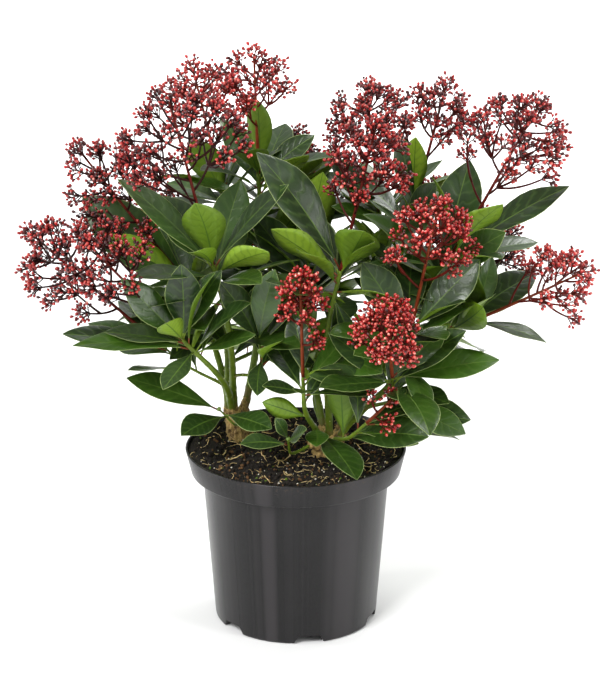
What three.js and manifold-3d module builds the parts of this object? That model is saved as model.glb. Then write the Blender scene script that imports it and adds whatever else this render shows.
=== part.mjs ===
// A potted skimmia: two clumps of green stems in a nursery pot.  Each stem ends in a whorl of
// leathery leaves, and most whorls carry a branched head of round red buds.
//
// Millimetres, +Z up.  The origin is the centre of the pot's flat underside, -Y is the side
// that faces the viewer and +X is to the viewer's right.
import * as THREE from 'three';
import { mergeVertices } from 'three/addons/utils/BufferGeometryUtils.js';
import Module from 'manifold-3d';

const wasm = await Module();
wasm.setup();

// ---------------------------------------------------------------- driving dimensions

const GAP = 0.3; // clearance between neighbouring pieces
const BEYOND = 10; // how far a cutter runs past what it cuts
const WELD = 1e-3; // points closer than this are one point
const TURN = 2 * Math.PI;
const GOLDEN = 137.5; // degrees from one leaf to the next round a stem

const POT = {
  height: 155,
  rimRadius: 95, // at the lip
  rimFoot: 90.5, // at the lower edge of the rim band
  rimBand: 21, // height of the rim band
  bodyRadius: 80.5, // just under the rim band
  baseRadius: 70.5,
  baseRounding: 2,
  wall: 1.8,
  floor: 3,
  sides: 30,
};

const FEET = {
  count: 6,
  first: -80.7, // bearing of the first arch between two feet, in degrees
  width: 23, // of each arch at the ground
  height: 7.5,
  depth: 21, // how far an arch runs in under the pot
  corner: 3, // of the arch's roof
  draft: 1, // how much an arch narrows on each side from the ground to its roof
  drain: 4.5, // radius of the drain hole in its roof
  drainPlace: 0.55, // of that hole, as a share of the depth from the arch's inner end
  drainSides: 6,
};

const SOIL = {
  top: 148,
  edge: 145.5, // height where the soil meets the wall
  flat: 72, // radius of the level middle
};

const CLUMPS = {
  left: { x: -48, y: 33, height: 24, foot: 12.5, neck: 9, head: 10.5, lean: -4 },
  right: { x: 25, y: -3, height: 11, foot: 15, neck: 12.5, head: 13, lean: 2 },
};
const CLUMP_SIDES = 10;
const CLUMP_STEPS = 4;

const STEM = {
  foot: 3.5, // radius of a bough at the clump
  fork: 2.7, // radius of a bough that starts on another
  tip: 2.1, // radius of every bough where its leaves begin
  ring: 0.62, // how far out on the clump's head the boughs stand, as a share of its radius
  rooted: 3, // how far below the clump's top a bough's middle line starts
  splay: 0.35, // sideways for each unit upwards, as a bough leaves its clump
  part: 1.2, // how strongly a bough turns off its mother bough
  pull: 1 / 3, // length of the curve's handles, as a share of the bough's
  sides: 5,
  steps: 5,
};

const LEAF = {
  petiole: 0.1, // share of the length
  petioleWidth: 2,
  arch: 26, // degrees that the midrib bends from base to tip
  slender: 2.6, // length over width
  thickness: 1.2,
  lowest: 78, // degrees that the lowest leaf of a whorl opens from the stem
  topmost: 34,
  droop: 0.2, // how steeply a leaf may set off downwards, as a share of its length
  skyward: 0.7, // how far the upper faces look up, against looking along the shoot
  rings: [0.43, 0.77], // shares of the length where the blade's outline turns
  widest: 1.3, // above 1 moves the widest place towards the tip
  fullness: 0.8, // below 1 rounds the outline
  crowded: 0.14, // share of the length that may lie against its own shoot
};

// How the leaves of a whorl vary: shares of the leafy stem for the lowest and highest leaf,
// how much shorter its end leaves are, and the bounds of the chances.
const WHORL = {
  lowest: 0.1,
  highest: 0.94,
  shorter: 0.22,
  longest: 0.45, // place of the longest leaf, as a share of the whorl
  bearing: 14,
  open: 8,
  roll: 18,
  length: [0.88, 1.08],
  slender: [0.88, 1.12],
  arch: [0.4, 1.5],
};

const HEAD = {
  bare: 0.34, // share of a flower head's stalk below its first branch
  foot: 1.6, // radius of the stalk at the whorl
  tip: 0.9,
  branch: 0.9, // radius of a side branch below its bunch
  root: 0.5, // and where it springs from the stalk
  spread: 50, // degrees between the lowest side branch and the stalk
  closing: 14, // how many degrees less that is at the top
  highest: 0.9, // of the head, where the last side branch springs
  shorter: 0.45, // share of its length that the last side branch lacks
  aside: 90, // degrees round the stalk from the lowest leaf to the lowest side branch
  bunch: 10, // radius of a bunch of buds
  end: 12, // length of the head's last stretch, which ends in a bunch too
  smaller: 0.15, // share of its radius that the last bunch lacks
  shoulder: 0.35, // of a bunch: half its height over its full width, as a share of its radius
  least: 3, // length of stalk above a whorl that has no flower head
  lift: 0.05, // how far a leaning head bends up, as a share of its length
  crowded: 0.35, // share of a side branch that may lie against its own stalk
  bearing: 15, // bounds of the chances, in degrees
  open: 7,
  size: [0.88, 1.08],
  sides: 3, // of a side branch and its bunch
  stalkSides: 4,
  stalkSteps: 3,
};

// One row for each shoot.  "on" names the clump or the bough that it springs from and "at" the
// place along that bough.  "toward" (degrees from +X), "reach" and "up" (above the soil) place
// the top of its whorl; "lean" from upright and "heading" aim it.  "head" is the length of its
// flower head, "span" that of the head's longest side branches and "arms" their number.
// "leaves", "blade" (length of a leaf), "stack" (leafy length of stem) and "turn" (bearing of
// the lowest leaf) are the whorl's.
const COLUMNS = [
  'name', 'on', 'at', 'toward', 'reach', 'up', 'lean', 'heading',
  'head', 'span', 'arms', 'leaves', 'blade', 'stack', 'turn',
];
const SHOOTS = [
  ['left_tall', 'left', 0, 207, 76, 179, 14, 195, 152, 54, 9, 8, 84, 26, 22],
  ['left_peak', 'left', 0, 125, 55, 236, 5, 250, 114, 32, 7, 8, 84, 32, 20],
  ['left_low', 'left', 0, 206, 104, 118, 42, 196, 134, 34, 7, 8, 84, 24, 60],
  ['left_upper', 'left', 0, 170, 87, 140, 38, 183, 164, 34, 7, 8, 80, 26, 200],
  ['left_back', 'left', 0, 140, 125, 125, 38, 138, 112, 32, 5, 6, 84, 30, 10],
  ['left_far', 'left_low', 0.5, 186, 114, 102, 48, 185, 152, 36, 7, 7, 84, 24, 150],
  ['left_crown', 'left_peak', 0.45, 132, 95, 220, 15, 157, 112, 32, 7, 8, 78, 28, 300],
  ['left_inner', 'left_tall', 0.35, 227, 45, 112, 16, 250, 0, 0, 0, 7, 74, 26, 40],
  ['left_foot', 'left', 0, 190, 66, 44, 40, 200, 0, 0, 0, 6, 66, 18, 250],
  ['left_behind', 'left_back', 0.4, 108, 118, 92, 48, 105, 90, 26, 4, 7, 80, 28, 80],
  ['middle_back', 'left_peak', 0.3, 96, 98, 196, 26, 60, 70, 20, 3, 7, 84, 30, 130],
  ['middle_tall', 'right', 0, 318, 50, 174, 13, 350, 134, 34, 8, 8, 80, 28, 37],
  ['middle_front', 'right', 0, 276, 58, 90, 16, 265, 106, 25, 6, 8, 70, 24, 210],
  ['middle_inner', 'middle_tall', 0.5, 75, 40, 150, 12, 100, 0, 0, 0, 7, 84, 32, 0],
  ['middle_rear', 'right', 0, 84, 88, 128, 32, 86, 110, 30, 5, 7, 84, 30, 45],
  ['right_peak', 'right', 0, 22, 108, 208, 14, 5, 116, 30, 7, 8, 84, 30, 70],
  ['right_rear', 'right_peak', 0.5, 48, 108, 194, 8, 140, 116, 36, 7, 7, 80, 28, 190],
  ['right_upper', 'right_peak', 0.6, 358, 132, 180, 28, 354, 152, 42, 8, 8, 88, 28, 57],
  ['right_front', 'right', 0, 332, 108, 130, 14, 315, 120, 38, 8, 8, 82, 26, 90],
  ['right_far', 'right', 0, 356, 148, 122, 66, 356, 112, 36, 7, 7, 84, 28, 20],
  ['right_low', 'right_front', 0.4, 316, 110, 96, 36, 262, 90, 27, 7, 8, 84, 24, 227],
  ['right_inner', 'right_far', 0.45, 8, 112, 140, 34, 14, 88, 24, 5, 7, 76, 24, 120],
  ['right_back', 'middle_rear', 0.4, 50, 142, 118, 40, 52, 108, 30, 5, 7, 84, 28, 220],
  ['right_side', 'right_far', 0.4, 25, 150, 112, 48, 28, 92, 26, 4, 7, 82, 26, 340],
  ['right_foot', 'right', 0, 312, 88, 52, 46, 318, 46, 15, 3, 8, 68, 20, 200],
  ['front_foot', 'right', 0, 262, 46, 30, 30, 262, 0, 0, 0, 6, 64, 16, 190],
  ['back_foot', 'right', 0, 70, 66, 56, 40, 66, 0, 0, 0, 6, 70, 20, 60],
].map((row) => Object.fromEntries(row.map((value, k) => [COLUMNS[k], value])));

const COLOURS = {
  pot: { color: 0x34373a, roughness: 0.42 },
  soil: { color: 0x2b1f17, roughness: 0.97 },
  clump: { color: 0x8a7047, roughness: 0.85 },
  bough: { color: 0x6f8436, roughness: 0.6 },
  mass: { color: 0x33602b, roughness: 0.45 },
};

// ---------------------------------------------------------------- helpers

const radians = THREE.MathUtils.degToRad;

// A unit vector that leans so many degrees from upright, towards a bearing.
function aim(lean, heading) {
  const level = Math.sin(radians(lean));
  return new THREE.Vector3(
    level * Math.cos(radians(heading)),
    level * Math.sin(radians(heading)),
    Math.cos(radians(lean)),
  );
}

// Repeatable numbers between two bounds.
function seeded(seed) {
  let state = Math.imul(seed, 2654435761) >>> 0;
  return (low, high) => {
    state = (Math.imul(state, 1664525) + 1013904223) >>> 0;
    return low + (high - low) * state / 4294967296;
  };
}

// A closed skin over rings of points.  Each ring runs counter-clockwise round the way the
// rings advance, and a ring of one point closes the skin to a tip.
function loft(rings) {
  const points = rings.flat();
  const faces = [];
  let start = 0;
  for (let i = 0; i + 1 < rings.length; i++) {
    const here = rings[i].length;
    const next = rings[i + 1].length;
    const above = start + here;
    for (let k = 0; k < Math.max(here, next); k++) {
      const a = start + k % here;
      const b = start + (k + 1) % here;
      const c = above + k % next;
      const d = above + (k + 1) % next;
      if (here > 1) faces.push([a, b, d]);
      if (next > 1) faces.push([a, d, c]);
    }
    start = above;
  }
  const first = rings[0].length;
  const last = rings[rings.length - 1].length;
  for (let k = 1; k + 1 < first; k++) faces.push([0, k + 1, k]);
  for (let k = 1; k + 1 < last; k++) faces.push([start, start + k, start + k + 1]);
  return new THREE.BufferGeometry()
    .setFromPoints(points)
    .setIndex(faces.flat());
}

// A three.js geometry as a solid that can be joined and cut, without the faces that have shrunk
// to a line.
function solid(geometry) {
  const bare = geometry.clone();
  bare.deleteAttribute('normal');
  bare.deleteAttribute('uv');
  const merged = mergeVertices(bare, WELD);
  const index = merged.index.array;
  const kept = [];
  for (let i = 0; i < index.length; i += 3) {
    const [a, b, c] = [index[i], index[i + 1], index[i + 2]];
    if (a !== b && b !== c && c !== a) kept.push(a, b, c);
  }
  return new wasm.Manifold(new wasm.Mesh({
    numProp: 3,
    vertProperties: new Float32Array(merged.attributes.position.array),
    triVerts: new Uint32Array(kept),
  }));
}

// Points and the faces between them, as a three.js geometry.
function geometryOf(points, faces) {
  return new THREE.BufferGeometry()
    .setAttribute('position', new THREE.BufferAttribute(new Float32Array(points), 3))
    .setIndex([...faces]);
}

// The largest shell of a solid, as a geometry: loose scraps and sealed hollows are dropped,
// also those that hang on by points which fall together.
function mainShell(body) {
  const whole = body.getMesh();
  const welded = solid(geometryOf(whole.vertProperties, whole.triVerts)).getMesh();
  const points = welded.vertProperties;
  const faces = welded.triVerts;
  const parent = Array.from({ length: points.length / 3 }, (_, i) => i);
  const root = (i) => {
    while (parent[i] !== i) i = parent[i] = parent[parent[i]];
    return i;
  };
  for (let i = 0; i < faces.length; i += 3) {
    parent[root(faces[i + 1])] = root(faces[i]);
    parent[root(faces[i + 2])] = root(faces[i]);
  }
  const volume = new Map();
  const corner = (i) => new THREE.Vector3().fromArray(points, 3 * faces[i]);
  for (let i = 0; i < faces.length; i += 3) {
    const part = corner(i).dot(corner(i + 1).cross(corner(i + 2)));
    const shell = root(faces[i]);
    volume.set(shell, (volume.get(shell) ?? 0) + part);
  }
  const largest = [...volume].sort((a, b) => b[1] - a[1])[0][0];
  const kept = [];
  for (let i = 0; i < faces.length; i += 3) {
    if (root(faces[i]) === largest) kept.push(faces[i], faces[i + 1], faces[i + 2]);
  }
  return geometryOf(points, kept);
}

// A ring of points round a centre, from two directions across the way.
function ring(centre, radius, [right, back], sides, twist = 0) {
  return Array.from({ length: sides }, (_, k) => {
    const angle = TURN * (k + twist) / sides;
    return centre.clone()
      .addScaledVector(right, radius * Math.cos(angle))
      .addScaledVector(back, radius * Math.sin(angle));
  });
}

// A round limb along a curve, cut flat at both ends.  "grow" thickens it all over, and its
// corners by a little more, so that its flat sides clear by as much.
function limb(curve, radiusAt, sides, steps, grow = 0) {
  const corners = grow / Math.cos(Math.PI / sides);
  const frames = curve.computeFrenetFrames(steps, false);
  return loft(Array.from({ length: steps + 1 }, (_, i) => {
    const centre = curve.getPointAt(i / steps);
    if (i === 0) centre.addScaledVector(frames.tangents[i], -grow);
    if (i === steps) centre.addScaledVector(frames.tangents[i], grow);
    const level = [frames.normals[i], frames.binormals[i]];
    return ring(centre, radiusAt(i / steps) + corners, level, sides);
  }));
}

// Everything placed so far, with its box, so that later pieces can keep clear of it.
const placed = new Map();

function place(name, body) {
  placed.set(name, { body, box: boxOf(body.getMesh().vertProperties) });
}

function boxOf(points) {
  return new THREE.Box3().setFromArray(points);
}

// Whether a geometry touches nothing that is placed, apart from one piece by name.
function isClear(geometry, ignore) {
  const box = boxOf(geometry.attributes.position.array);
  let body = null;
  for (const [name, other] of placed) {
    if (name === ignore || !other.box.intersectsBox(box)) continue;
    body ??= solid(geometry);
    if (!body.intersect(other.body).isEmpty()) return false;
  }
  return true;
}

// ---------------------------------------------------------------- pot and soil

function lathe(profile) {
  const points = profile.map(([radius, z]) => new THREE.Vector2(radius, z));
  return new THREE.LatheGeometry(points, POT.sides).rotateX(Math.PI / 2);
}

// The room inside the pot's wall, drawn in by "inset" and closed at height "top".
function room(inset, top) {
  const wall = POT.wall + inset;
  const shelf = POT.height - POT.rimBand + wall;
  const slope = (POT.rimRadius - POT.rimFoot) / POT.rimBand;
  return [
    [0, POT.floor + inset],
    [POT.baseRadius - wall, POT.floor + inset],
    [POT.bodyRadius - wall, shelf],
    [POT.rimFoot - wall, shelf],
    [POT.rimFoot - wall + slope * (top - shelf), top],
  ];
}

// The arches between the pot's feet: rounded slots that run in from its edge.
function arches(grow) {
  const foot = FEET.width / 2 + grow;
  const roof = foot - FEET.draft;
  const top = FEET.height + grow;
  const corner = FEET.corner + grow;
  const outline = new THREE.Shape();
  outline.moveTo(-foot, -BEYOND);
  outline.lineTo(foot, -BEYOND);
  outline.lineTo(foot, 0);
  outline.lineTo(roof, top - corner);
  outline.lineTo(roof - corner, top);
  outline.lineTo(corner - roof, top);
  outline.lineTo(-roof, top - corner);
  outline.lineTo(-foot, 0);
  outline.closePath();
  const length = FEET.depth + grow + BEYOND;
  return Array.from({ length: FEET.count }, (_, k) => new THREE.ExtrudeGeometry(
    outline, { depth: length, bevelEnabled: false },
  )
    .rotateX(Math.PI / 2)
    .translate(0, -(POT.baseRadius - FEET.depth - grow), 0)
    .rotateZ(radians(90 + FEET.first + k * 360 / FEET.count)));
}

// The drain holes in the arches' roofs.
function drains() {
  return Array.from({ length: FEET.count }, (_, k) => new THREE.CylinderGeometry(
    FEET.drain, FEET.drain, BEYOND, FEET.drainSides,
  )
    .rotateX(Math.PI / 2)
    .translate(0, -(POT.baseRadius - FEET.depth * FEET.drainPlace), FEET.height)
    .rotateZ(radians(90 + FEET.first + k * 360 / FEET.count)));
}

function makePot() {
  const rimFootHeight = POT.height - POT.rimBand;
  const outside = solid(lathe([
    [0, 0],
    [POT.baseRadius - POT.baseRounding, 0],
    [POT.baseRadius, POT.baseRounding],
    [POT.bodyRadius, rimFootHeight],
    [POT.rimFoot, rimFootHeight],
    [POT.rimRadius, POT.height],
    [0, POT.height],
  ]));
  const above = POT.height + BEYOND;
  let inside = solid(lathe([...room(0, above), [0, above]]));
  for (const arch of arches(POT.wall)) inside = inside.subtract(solid(arch));
  let pot = outside.subtract(inside);
  for (const arch of [...arches(0), ...drains()]) pot = pot.subtract(solid(arch));
  place('pot', pot);
}

function makeSoil() {
  let soil = solid(lathe([...room(GAP, SOIL.edge), [SOIL.flat, SOIL.top], [0, SOIL.top]]));
  for (const arch of arches(POT.wall + GAP)) soil = soil.subtract(solid(arch));
  place('soil', soil);
}

// ---------------------------------------------------------------- clumps and boughs

// A clump's woody foot: a short flared stub with a flat cut on the soil.
function makeClump(name) {
  const clump = CLUMPS[name];
  const ground = SOIL.top + GAP;
  const curve = new THREE.QuadraticBezierCurve3(
    new THREE.Vector3(clump.x, clump.y, ground),
    new THREE.Vector3(clump.x, clump.y, ground + clump.height / 2),
    new THREE.Vector3(clump.x + clump.lean, clump.y, ground + clump.height),
  );
  const radiusAt = (s) => (s < 0.5
    ? THREE.MathUtils.lerp(clump.foot, clump.neck, 2 * s)
    : THREE.MathUtils.lerp(clump.neck, clump.head, 2 * s - 1));
  clump.crown = curve.getPoint(1);
  clump.fat = solid(limb(curve, radiusAt, CLUMP_SIDES, CLUMP_STEPS, GAP));
  place(`clump_${name}`, solid(limb(curve, radiusAt, CLUMP_SIDES, CLUMP_STEPS)));
}

const boughs = new Map();

// The middle line of a shoot's bough, from its clump or its mother bough to its first leaf.
function boughCurve(shoot) {
  const bearing = radians(shoot.toward);
  const whorl = new THREE.Vector3(
    shoot.reach * Math.cos(bearing), shoot.reach * Math.sin(bearing), SOIL.top + shoot.up,
  );
  const along = aim(shoot.lean, shoot.heading);
  const collar = whorl.clone().addScaledVector(along, -shoot.stack);
  const clump = CLUMPS[shoot.on];
  const start = new THREE.Vector3();
  const leave = new THREE.Vector3();
  if (clump) {
    const out = collar.clone().sub(clump.crown).setZ(0).normalize();
    start.copy(clump.crown).addScaledVector(out, clump.head * STEM.ring);
    start.z -= STEM.rooted;
    leave.copy(out).multiplyScalar(STEM.splay).setZ(1).normalize();
  } else {
    const mother = boughs.get(shoot.on).curve;
    start.copy(mother.getPointAt(shoot.at));
    const out = collar.clone().sub(start).normalize();
    leave.copy(mother.getTangentAt(shoot.at)).addScaledVector(out, STEM.part).normalize();
  }
  const pull = start.distanceTo(collar) * STEM.pull;
  return new THREE.CubicBezierCurve3(
    start,
    start.clone().addScaledVector(leave, pull),
    collar.clone().addScaledVector(along, -pull),
    collar,
  );
}

// A tapering bough, cut clear of its clump and of every bough before it.
function makeBough(shoot) {
  const curve = boughCurve(shoot);
  const foot = CLUMPS[shoot.on] ? STEM.foot : STEM.fork;
  const radiusAt = (s) => THREE.MathUtils.lerp(foot, STEM.tip, s);
  const fat = limb(curve, radiusAt, STEM.sides, STEM.steps, GAP);
  let body = solid(limb(curve, radiusAt, STEM.sides, STEM.steps));
  const box = boxOf(fat.attributes.position.array);
  for (const other of boughs.values()) {
    if (other.box.intersectsBox(box)) body = body.subtract(other.fat);
  }
  for (const clump of Object.values(CLUMPS)) body = body.subtract(clump.fat);
  boughs.set(shoot.name, { curve, fat: solid(fat), box });
  place(`bough_${shoot.name}`, body);
}

// ---------------------------------------------------------------- leaves

const UP = new THREE.Vector3(0, 0, 1);

// Two directions across a shoot: bearing 0 is the one nearest +X.
function across(along) {
  const right = new THREE.Vector3(1, 0, 0).addScaledVector(along, -along.x).normalize();
  return [right, along.clone().cross(right)];
}

// The rule of a whorl: where each leaf springs from, how it is aimed and how large it is.
function whorl(shoot, index) {
  const draw = seeded(index + 1);
  return Array.from({ length: shoot.leaves }, (_, k) => {
    const rise = k / (shoot.leaves - 1);
    return {
      at: shoot.stack * THREE.MathUtils.lerp(WHORL.lowest, WHORL.highest, rise),
      bearing: shoot.turn + GOLDEN * k + draw(-WHORL.bearing, WHORL.bearing),
      open: THREE.MathUtils.lerp(LEAF.lowest, LEAF.topmost, rise) + draw(-WHORL.open, WHORL.open),
      length: shoot.blade * (1 - WHORL.shorter * (2 * (rise - WHORL.longest)) ** 2)
        * draw(...WHORL.length),
      slender: LEAF.slender * draw(...WHORL.slender),
      arch: LEAF.arch * draw(...WHORL.arch),
      roll: draw(-WHORL.roll, WHORL.roll),
    };
  });
}

// Small turns that a leaf may make, in order, to find room: bearing and opening in degrees.
const SHIFTS = [[0, 0], [18, 0], [-18, 0], [0, -16], [34, -8], [-34, -8], [0, 14]];

// A leaf's base, its first direction and the direction that its upper face looks.
function seatLeaf(leaf, collar, along, [turn, open]) {
  const [right, back] = across(along);
  const bearing = radians(leaf.bearing + turn);
  const pitch = radians(leaf.open + open);
  const out = right.multiplyScalar(Math.cos(bearing)).addScaledVector(back, Math.sin(bearing));
  const ahead = along.clone().multiplyScalar(Math.cos(pitch))
    .addScaledVector(out, Math.sin(pitch));
  ahead.setZ(Math.max(ahead.z, -LEAF.droop)).normalize();
  const face = along.clone().addScaledVector(UP, LEAF.skyward);
  face.addScaledVector(ahead, -face.dot(ahead)).normalize();
  face.applyAxisAngle(ahead, radians(leaf.roll));
  return { base: collar.clone().addScaledVector(along, leaf.at), ahead, face };
}

// Half the width of a blade at a share of its length: widest past the middle, and running
// straight in to its stalk.
function halfWidth(leaf, t) {
  const curved = (share) => {
    const blade = (share - LEAF.petiole) / (1 - LEAF.petiole);
    const rounded = Math.sin(Math.PI * blade ** LEAF.widest) ** LEAF.fullness;
    return leaf.length / leaf.slender / 2 * rounded;
  };
  const [first] = LEAF.rings;
  if (t >= first) return curved(t);
  return THREE.MathUtils.lerp(LEAF.petioleWidth / 2, curved(first), t / first);
}

// A leaf as a blade on an arching midrib: its section is a shallow triangle, with the midrib
// as its keel.  "from" is where along it the solid starts and "grow" thickens it.
function leafGeometry(leaf, seat, from, grow) {
  const side = seat.face.clone().cross(seat.ahead);
  const arch = radians(leaf.arch);
  const keel = LEAF.thickness / 2 + grow;
  const midrib = (t) => seat.base.clone()
    .addScaledVector(seat.ahead, leaf.length * Math.sin(arch * t) / arch)
    .addScaledVector(seat.face, -leaf.length * (1 - Math.cos(arch * t)) / arch);
  const rings = [from, ...LEAF.rings].map((t) => {
    const up = seat.face.clone().multiplyScalar(Math.cos(arch * t))
      .addScaledVector(seat.ahead, Math.sin(arch * t));
    const edge = (sign) => midrib(t)
      .addScaledVector(side, sign * (halfWidth(leaf, t) + grow))
      .addScaledVector(up, keel);
    return [edge(1), edge(-1), midrib(t).addScaledVector(up, -keel)];
  });
  return loft([...rings, [midrib(1 + grow / leaf.length)]]);
}

// ---------------------------------------------------------------- flower heads

// The stalk of a shoot above its bough: through the whorl and, where it flowers, to the top of
// its head, bending a little upwards on the way.
function stalkCurve(shoot) {
  const along = aim(shoot.lean, shoot.heading);
  const collar = boughs.get(shoot.name).curve.getPoint(1).addScaledVector(along, GAP);
  const length = shoot.stack + Math.max(shoot.head - HEAD.bunch, HEAD.least);
  return new THREE.QuadraticBezierCurve3(
    collar,
    collar.clone().addScaledVector(along, length / 2),
    collar.clone().addScaledVector(along, length)
      .addScaledVector(UP, HEAD.lift * shoot.head * Math.sin(radians(shoot.lean))),
  );
}

// The bunch that ends a head, and its side branches, which spiral up the stalk.
function headArms(shoot, index, stalk) {
  const draw = seeded(100 + index);
  const length = shoot.stack + shoot.head;
  const arms = Array.from({ length: shoot.arms }, (_, k) => {
    const rise = k / shoot.arms;
    const share = THREE.MathUtils.lerp(HEAD.bare, HEAD.highest, rise);
    return {
      at: (shoot.stack + shoot.head * share) / length,
      bearing: shoot.turn + HEAD.aside + GOLDEN * k + draw(-HEAD.bearing, HEAD.bearing),
      spread: HEAD.spread - HEAD.closing * rise + draw(-HEAD.open, HEAD.open),
      length: shoot.span * (1 - HEAD.shorter * rise),
      radius: HEAD.bunch * (1 - HEAD.smaller * rise) * draw(...HEAD.size),
    };
  });
  const end = { at: 1 - HEAD.end / stalk.getLength(), bearing: 0, spread: 0, length: HEAD.end };
  return [{ ...end, radius: HEAD.bunch }, ...arms];
}

// Small turns that an arm may make to find room: bearing and spread in degrees.
const ARM_SHIFTS = [[0, 0], [22, 0], [-22, 0], [45, 6], [-45, 6]];

// A side branch that swells into its bunch of buds.
function armGeometry(arm, stalk, [turn, widen], from, grow) {
  const along = stalk.getTangentAt(arm.at);
  const [right, back] = across(along);
  const bearing = radians(arm.bearing + turn);
  const spread = radians(arm.spread + widen);
  const way = along.clone().multiplyScalar(Math.cos(spread))
    .addScaledVector(right, Math.sin(spread) * Math.cos(bearing))
    .addScaledVector(back, Math.sin(spread) * Math.sin(bearing));
  const root = stalk.getPointAt(arm.at);
  const level = across(way);
  const centre = (distance) => root.clone().addScaledVector(way, distance);
  const thin = HEAD.branch + grow;
  const wide = arm.radius + grow;
  const neck = Math.max(arm.length - wide, from + thin);
  return loft([
    ring(centre(from), HEAD.root + grow, level, HEAD.sides),
    ring(centre(neck), thin, level, HEAD.sides),
    ring(centre(arm.length - wide * HEAD.shoulder), wide, level, HEAD.sides),
    ring(centre(arm.length + wide * HEAD.shoulder), wide, level, HEAD.sides, -0.5),
    [centre(arm.length + wide)],
  ]);
}

// ---------------------------------------------------------------- masses

// The stalk of a mass with its flower head: an arm that would touch a neighbour is turned
// aside, and left out where that doesn't help.
function makeHead(shoot, index) {
  const name = `mass_${shoot.name}`;
  const stalk = stalkCurve(shoot);
  const leafy = shoot.stack / (shoot.stack + Math.max(shoot.head, HEAD.least));
  const radiusAt = (s) => (s < leafy
    ? THREE.MathUtils.lerp(STEM.tip, HEAD.foot, s / leafy)
    : THREE.MathUtils.lerp(HEAD.foot, HEAD.tip, (s - leafy) / (1 - leafy)));
  place(name, solid(limb(stalk, radiusAt, HEAD.stalkSides, HEAD.stalkSteps)));
  for (const arm of shoot.arms ? headArms(shoot, index, stalk) : []) {
    const free = arm.length * HEAD.crowded;
    const shift = ARM_SHIFTS.find((trial) => (
      isClear(armGeometry(arm, stalk, trial, 0, GAP * 2), name)
      && (arm.spread === 0
        || isClearOfOwn(armGeometry(arm, stalk, trial, free, GAP), name))));
    if (shift) {
      place(name, placed.get(name).body.add(solid(armGeometry(arm, stalk, shift, 0, 0))));
    }
  }
}

// The leaves of a mass, each turned to its first free place and fused on to the stalk.
function makeLeaves(shoot, index) {
  const name = `mass_${shoot.name}`;
  const along = aim(shoot.lean, shoot.heading);
  const collar = boughs.get(shoot.name).curve.getPoint(1);
  for (const leaf of whorl(shoot, index)) {
    const seat = SHIFTS.map((shift) => seatLeaf(leaf, collar, along, shift)).find((trial) => (
      isClear(leafGeometry(leaf, trial, 0, GAP * 2), name)
      && isClearOfOwn(leafGeometry(leaf, trial, LEAF.crowded, GAP), name)));
    if (seat) {
      place(name, placed.get(name).body.add(solid(leafGeometry(leaf, seat, 0, 0))));
    }
  }
}

function isClearOfOwn(geometry, name) {
  return solid(geometry).intersect(placed.get(name).body).isEmpty();
}

// ---------------------------------------------------------------- the whole plant

makePot();
makeSoil();
Object.keys(CLUMPS).forEach(makeClump);
SHOOTS.forEach(makeBough);
SHOOTS.forEach(makeHead);
SHOOTS.forEach(makeLeaves);

const plant = new THREE.Group();
for (const [name, { body }] of placed) {
  const look = COLOURS[name.split('_')[0]];
  const mesh = new THREE.Mesh(mainShell(body), new THREE.MeshStandardMaterial(look));
  mesh.name = name;
  mesh.geometry.computeVertexNormals();
  plant.add(mesh);
}

export default plant;
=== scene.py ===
# %% [markdown]
# # A potted skimmia
#
# A skimmia is an evergreen shrub with leathery leaves in whorls and, over them, branched heads
# of small round red buds.  This one grows from two clumps in a nursery pot.
#
# The plain solids of the plant come in first.  They are the frame: they say how large
# everything is and where it stands.  Each step after that makes one kind of thing, in metres and
# in its place, and says which of the solids it stands for.

# %% Load the frame
from math import cos, exp, hypot, pi, radians, sin, sqrt, tan

import bpy
import numpy as np
from mathutils import Matrix, Vector, noise


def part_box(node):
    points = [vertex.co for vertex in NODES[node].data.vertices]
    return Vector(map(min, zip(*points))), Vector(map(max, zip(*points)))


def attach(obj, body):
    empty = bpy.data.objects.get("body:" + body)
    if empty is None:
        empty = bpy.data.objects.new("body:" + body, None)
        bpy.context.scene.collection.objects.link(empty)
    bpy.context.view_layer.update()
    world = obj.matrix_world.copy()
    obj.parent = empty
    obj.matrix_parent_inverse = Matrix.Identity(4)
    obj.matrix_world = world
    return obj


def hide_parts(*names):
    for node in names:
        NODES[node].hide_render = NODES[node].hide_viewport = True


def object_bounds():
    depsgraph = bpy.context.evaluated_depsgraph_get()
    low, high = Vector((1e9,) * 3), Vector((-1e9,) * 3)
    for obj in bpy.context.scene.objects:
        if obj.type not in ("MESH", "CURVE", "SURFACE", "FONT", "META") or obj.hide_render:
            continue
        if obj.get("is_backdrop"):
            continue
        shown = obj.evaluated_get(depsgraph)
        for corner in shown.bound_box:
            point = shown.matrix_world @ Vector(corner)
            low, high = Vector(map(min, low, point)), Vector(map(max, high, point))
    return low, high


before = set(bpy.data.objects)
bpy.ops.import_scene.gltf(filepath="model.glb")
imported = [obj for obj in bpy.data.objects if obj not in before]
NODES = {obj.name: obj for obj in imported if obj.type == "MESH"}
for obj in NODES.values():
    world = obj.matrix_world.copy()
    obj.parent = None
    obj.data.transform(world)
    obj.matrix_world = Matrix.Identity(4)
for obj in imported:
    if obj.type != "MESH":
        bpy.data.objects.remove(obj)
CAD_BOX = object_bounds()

scene = bpy.context.scene
print(f"{len(NODES)} solids, {CAD_BOX[1].x - CAD_BOX[0].x:.3f} m wide, {CAD_BOX[1].z:.3f} m high")

# %% [markdown]
# ## The camera
#
# A long lens from two metres away, looking down on the plant by a little under twenty degrees.
# It comes first, because every later step is judged through it.  The picture is higher than it
# is wide, and Blender then measures the sensor along the height.

# %% Camera
CAMERA_PITCH = radians(18.75)
CAMERA_DISTANCE = 2.0
CAMERA_TARGET = Vector((0.0036, 0.0, 0.2492))
CAMERA_LENS = 124.3  # millimetres, as the sensor
CAMERA_SENSOR = 36.0
FARTHEST = 50.0  # metres; the camera sees nothing beyond


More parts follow.
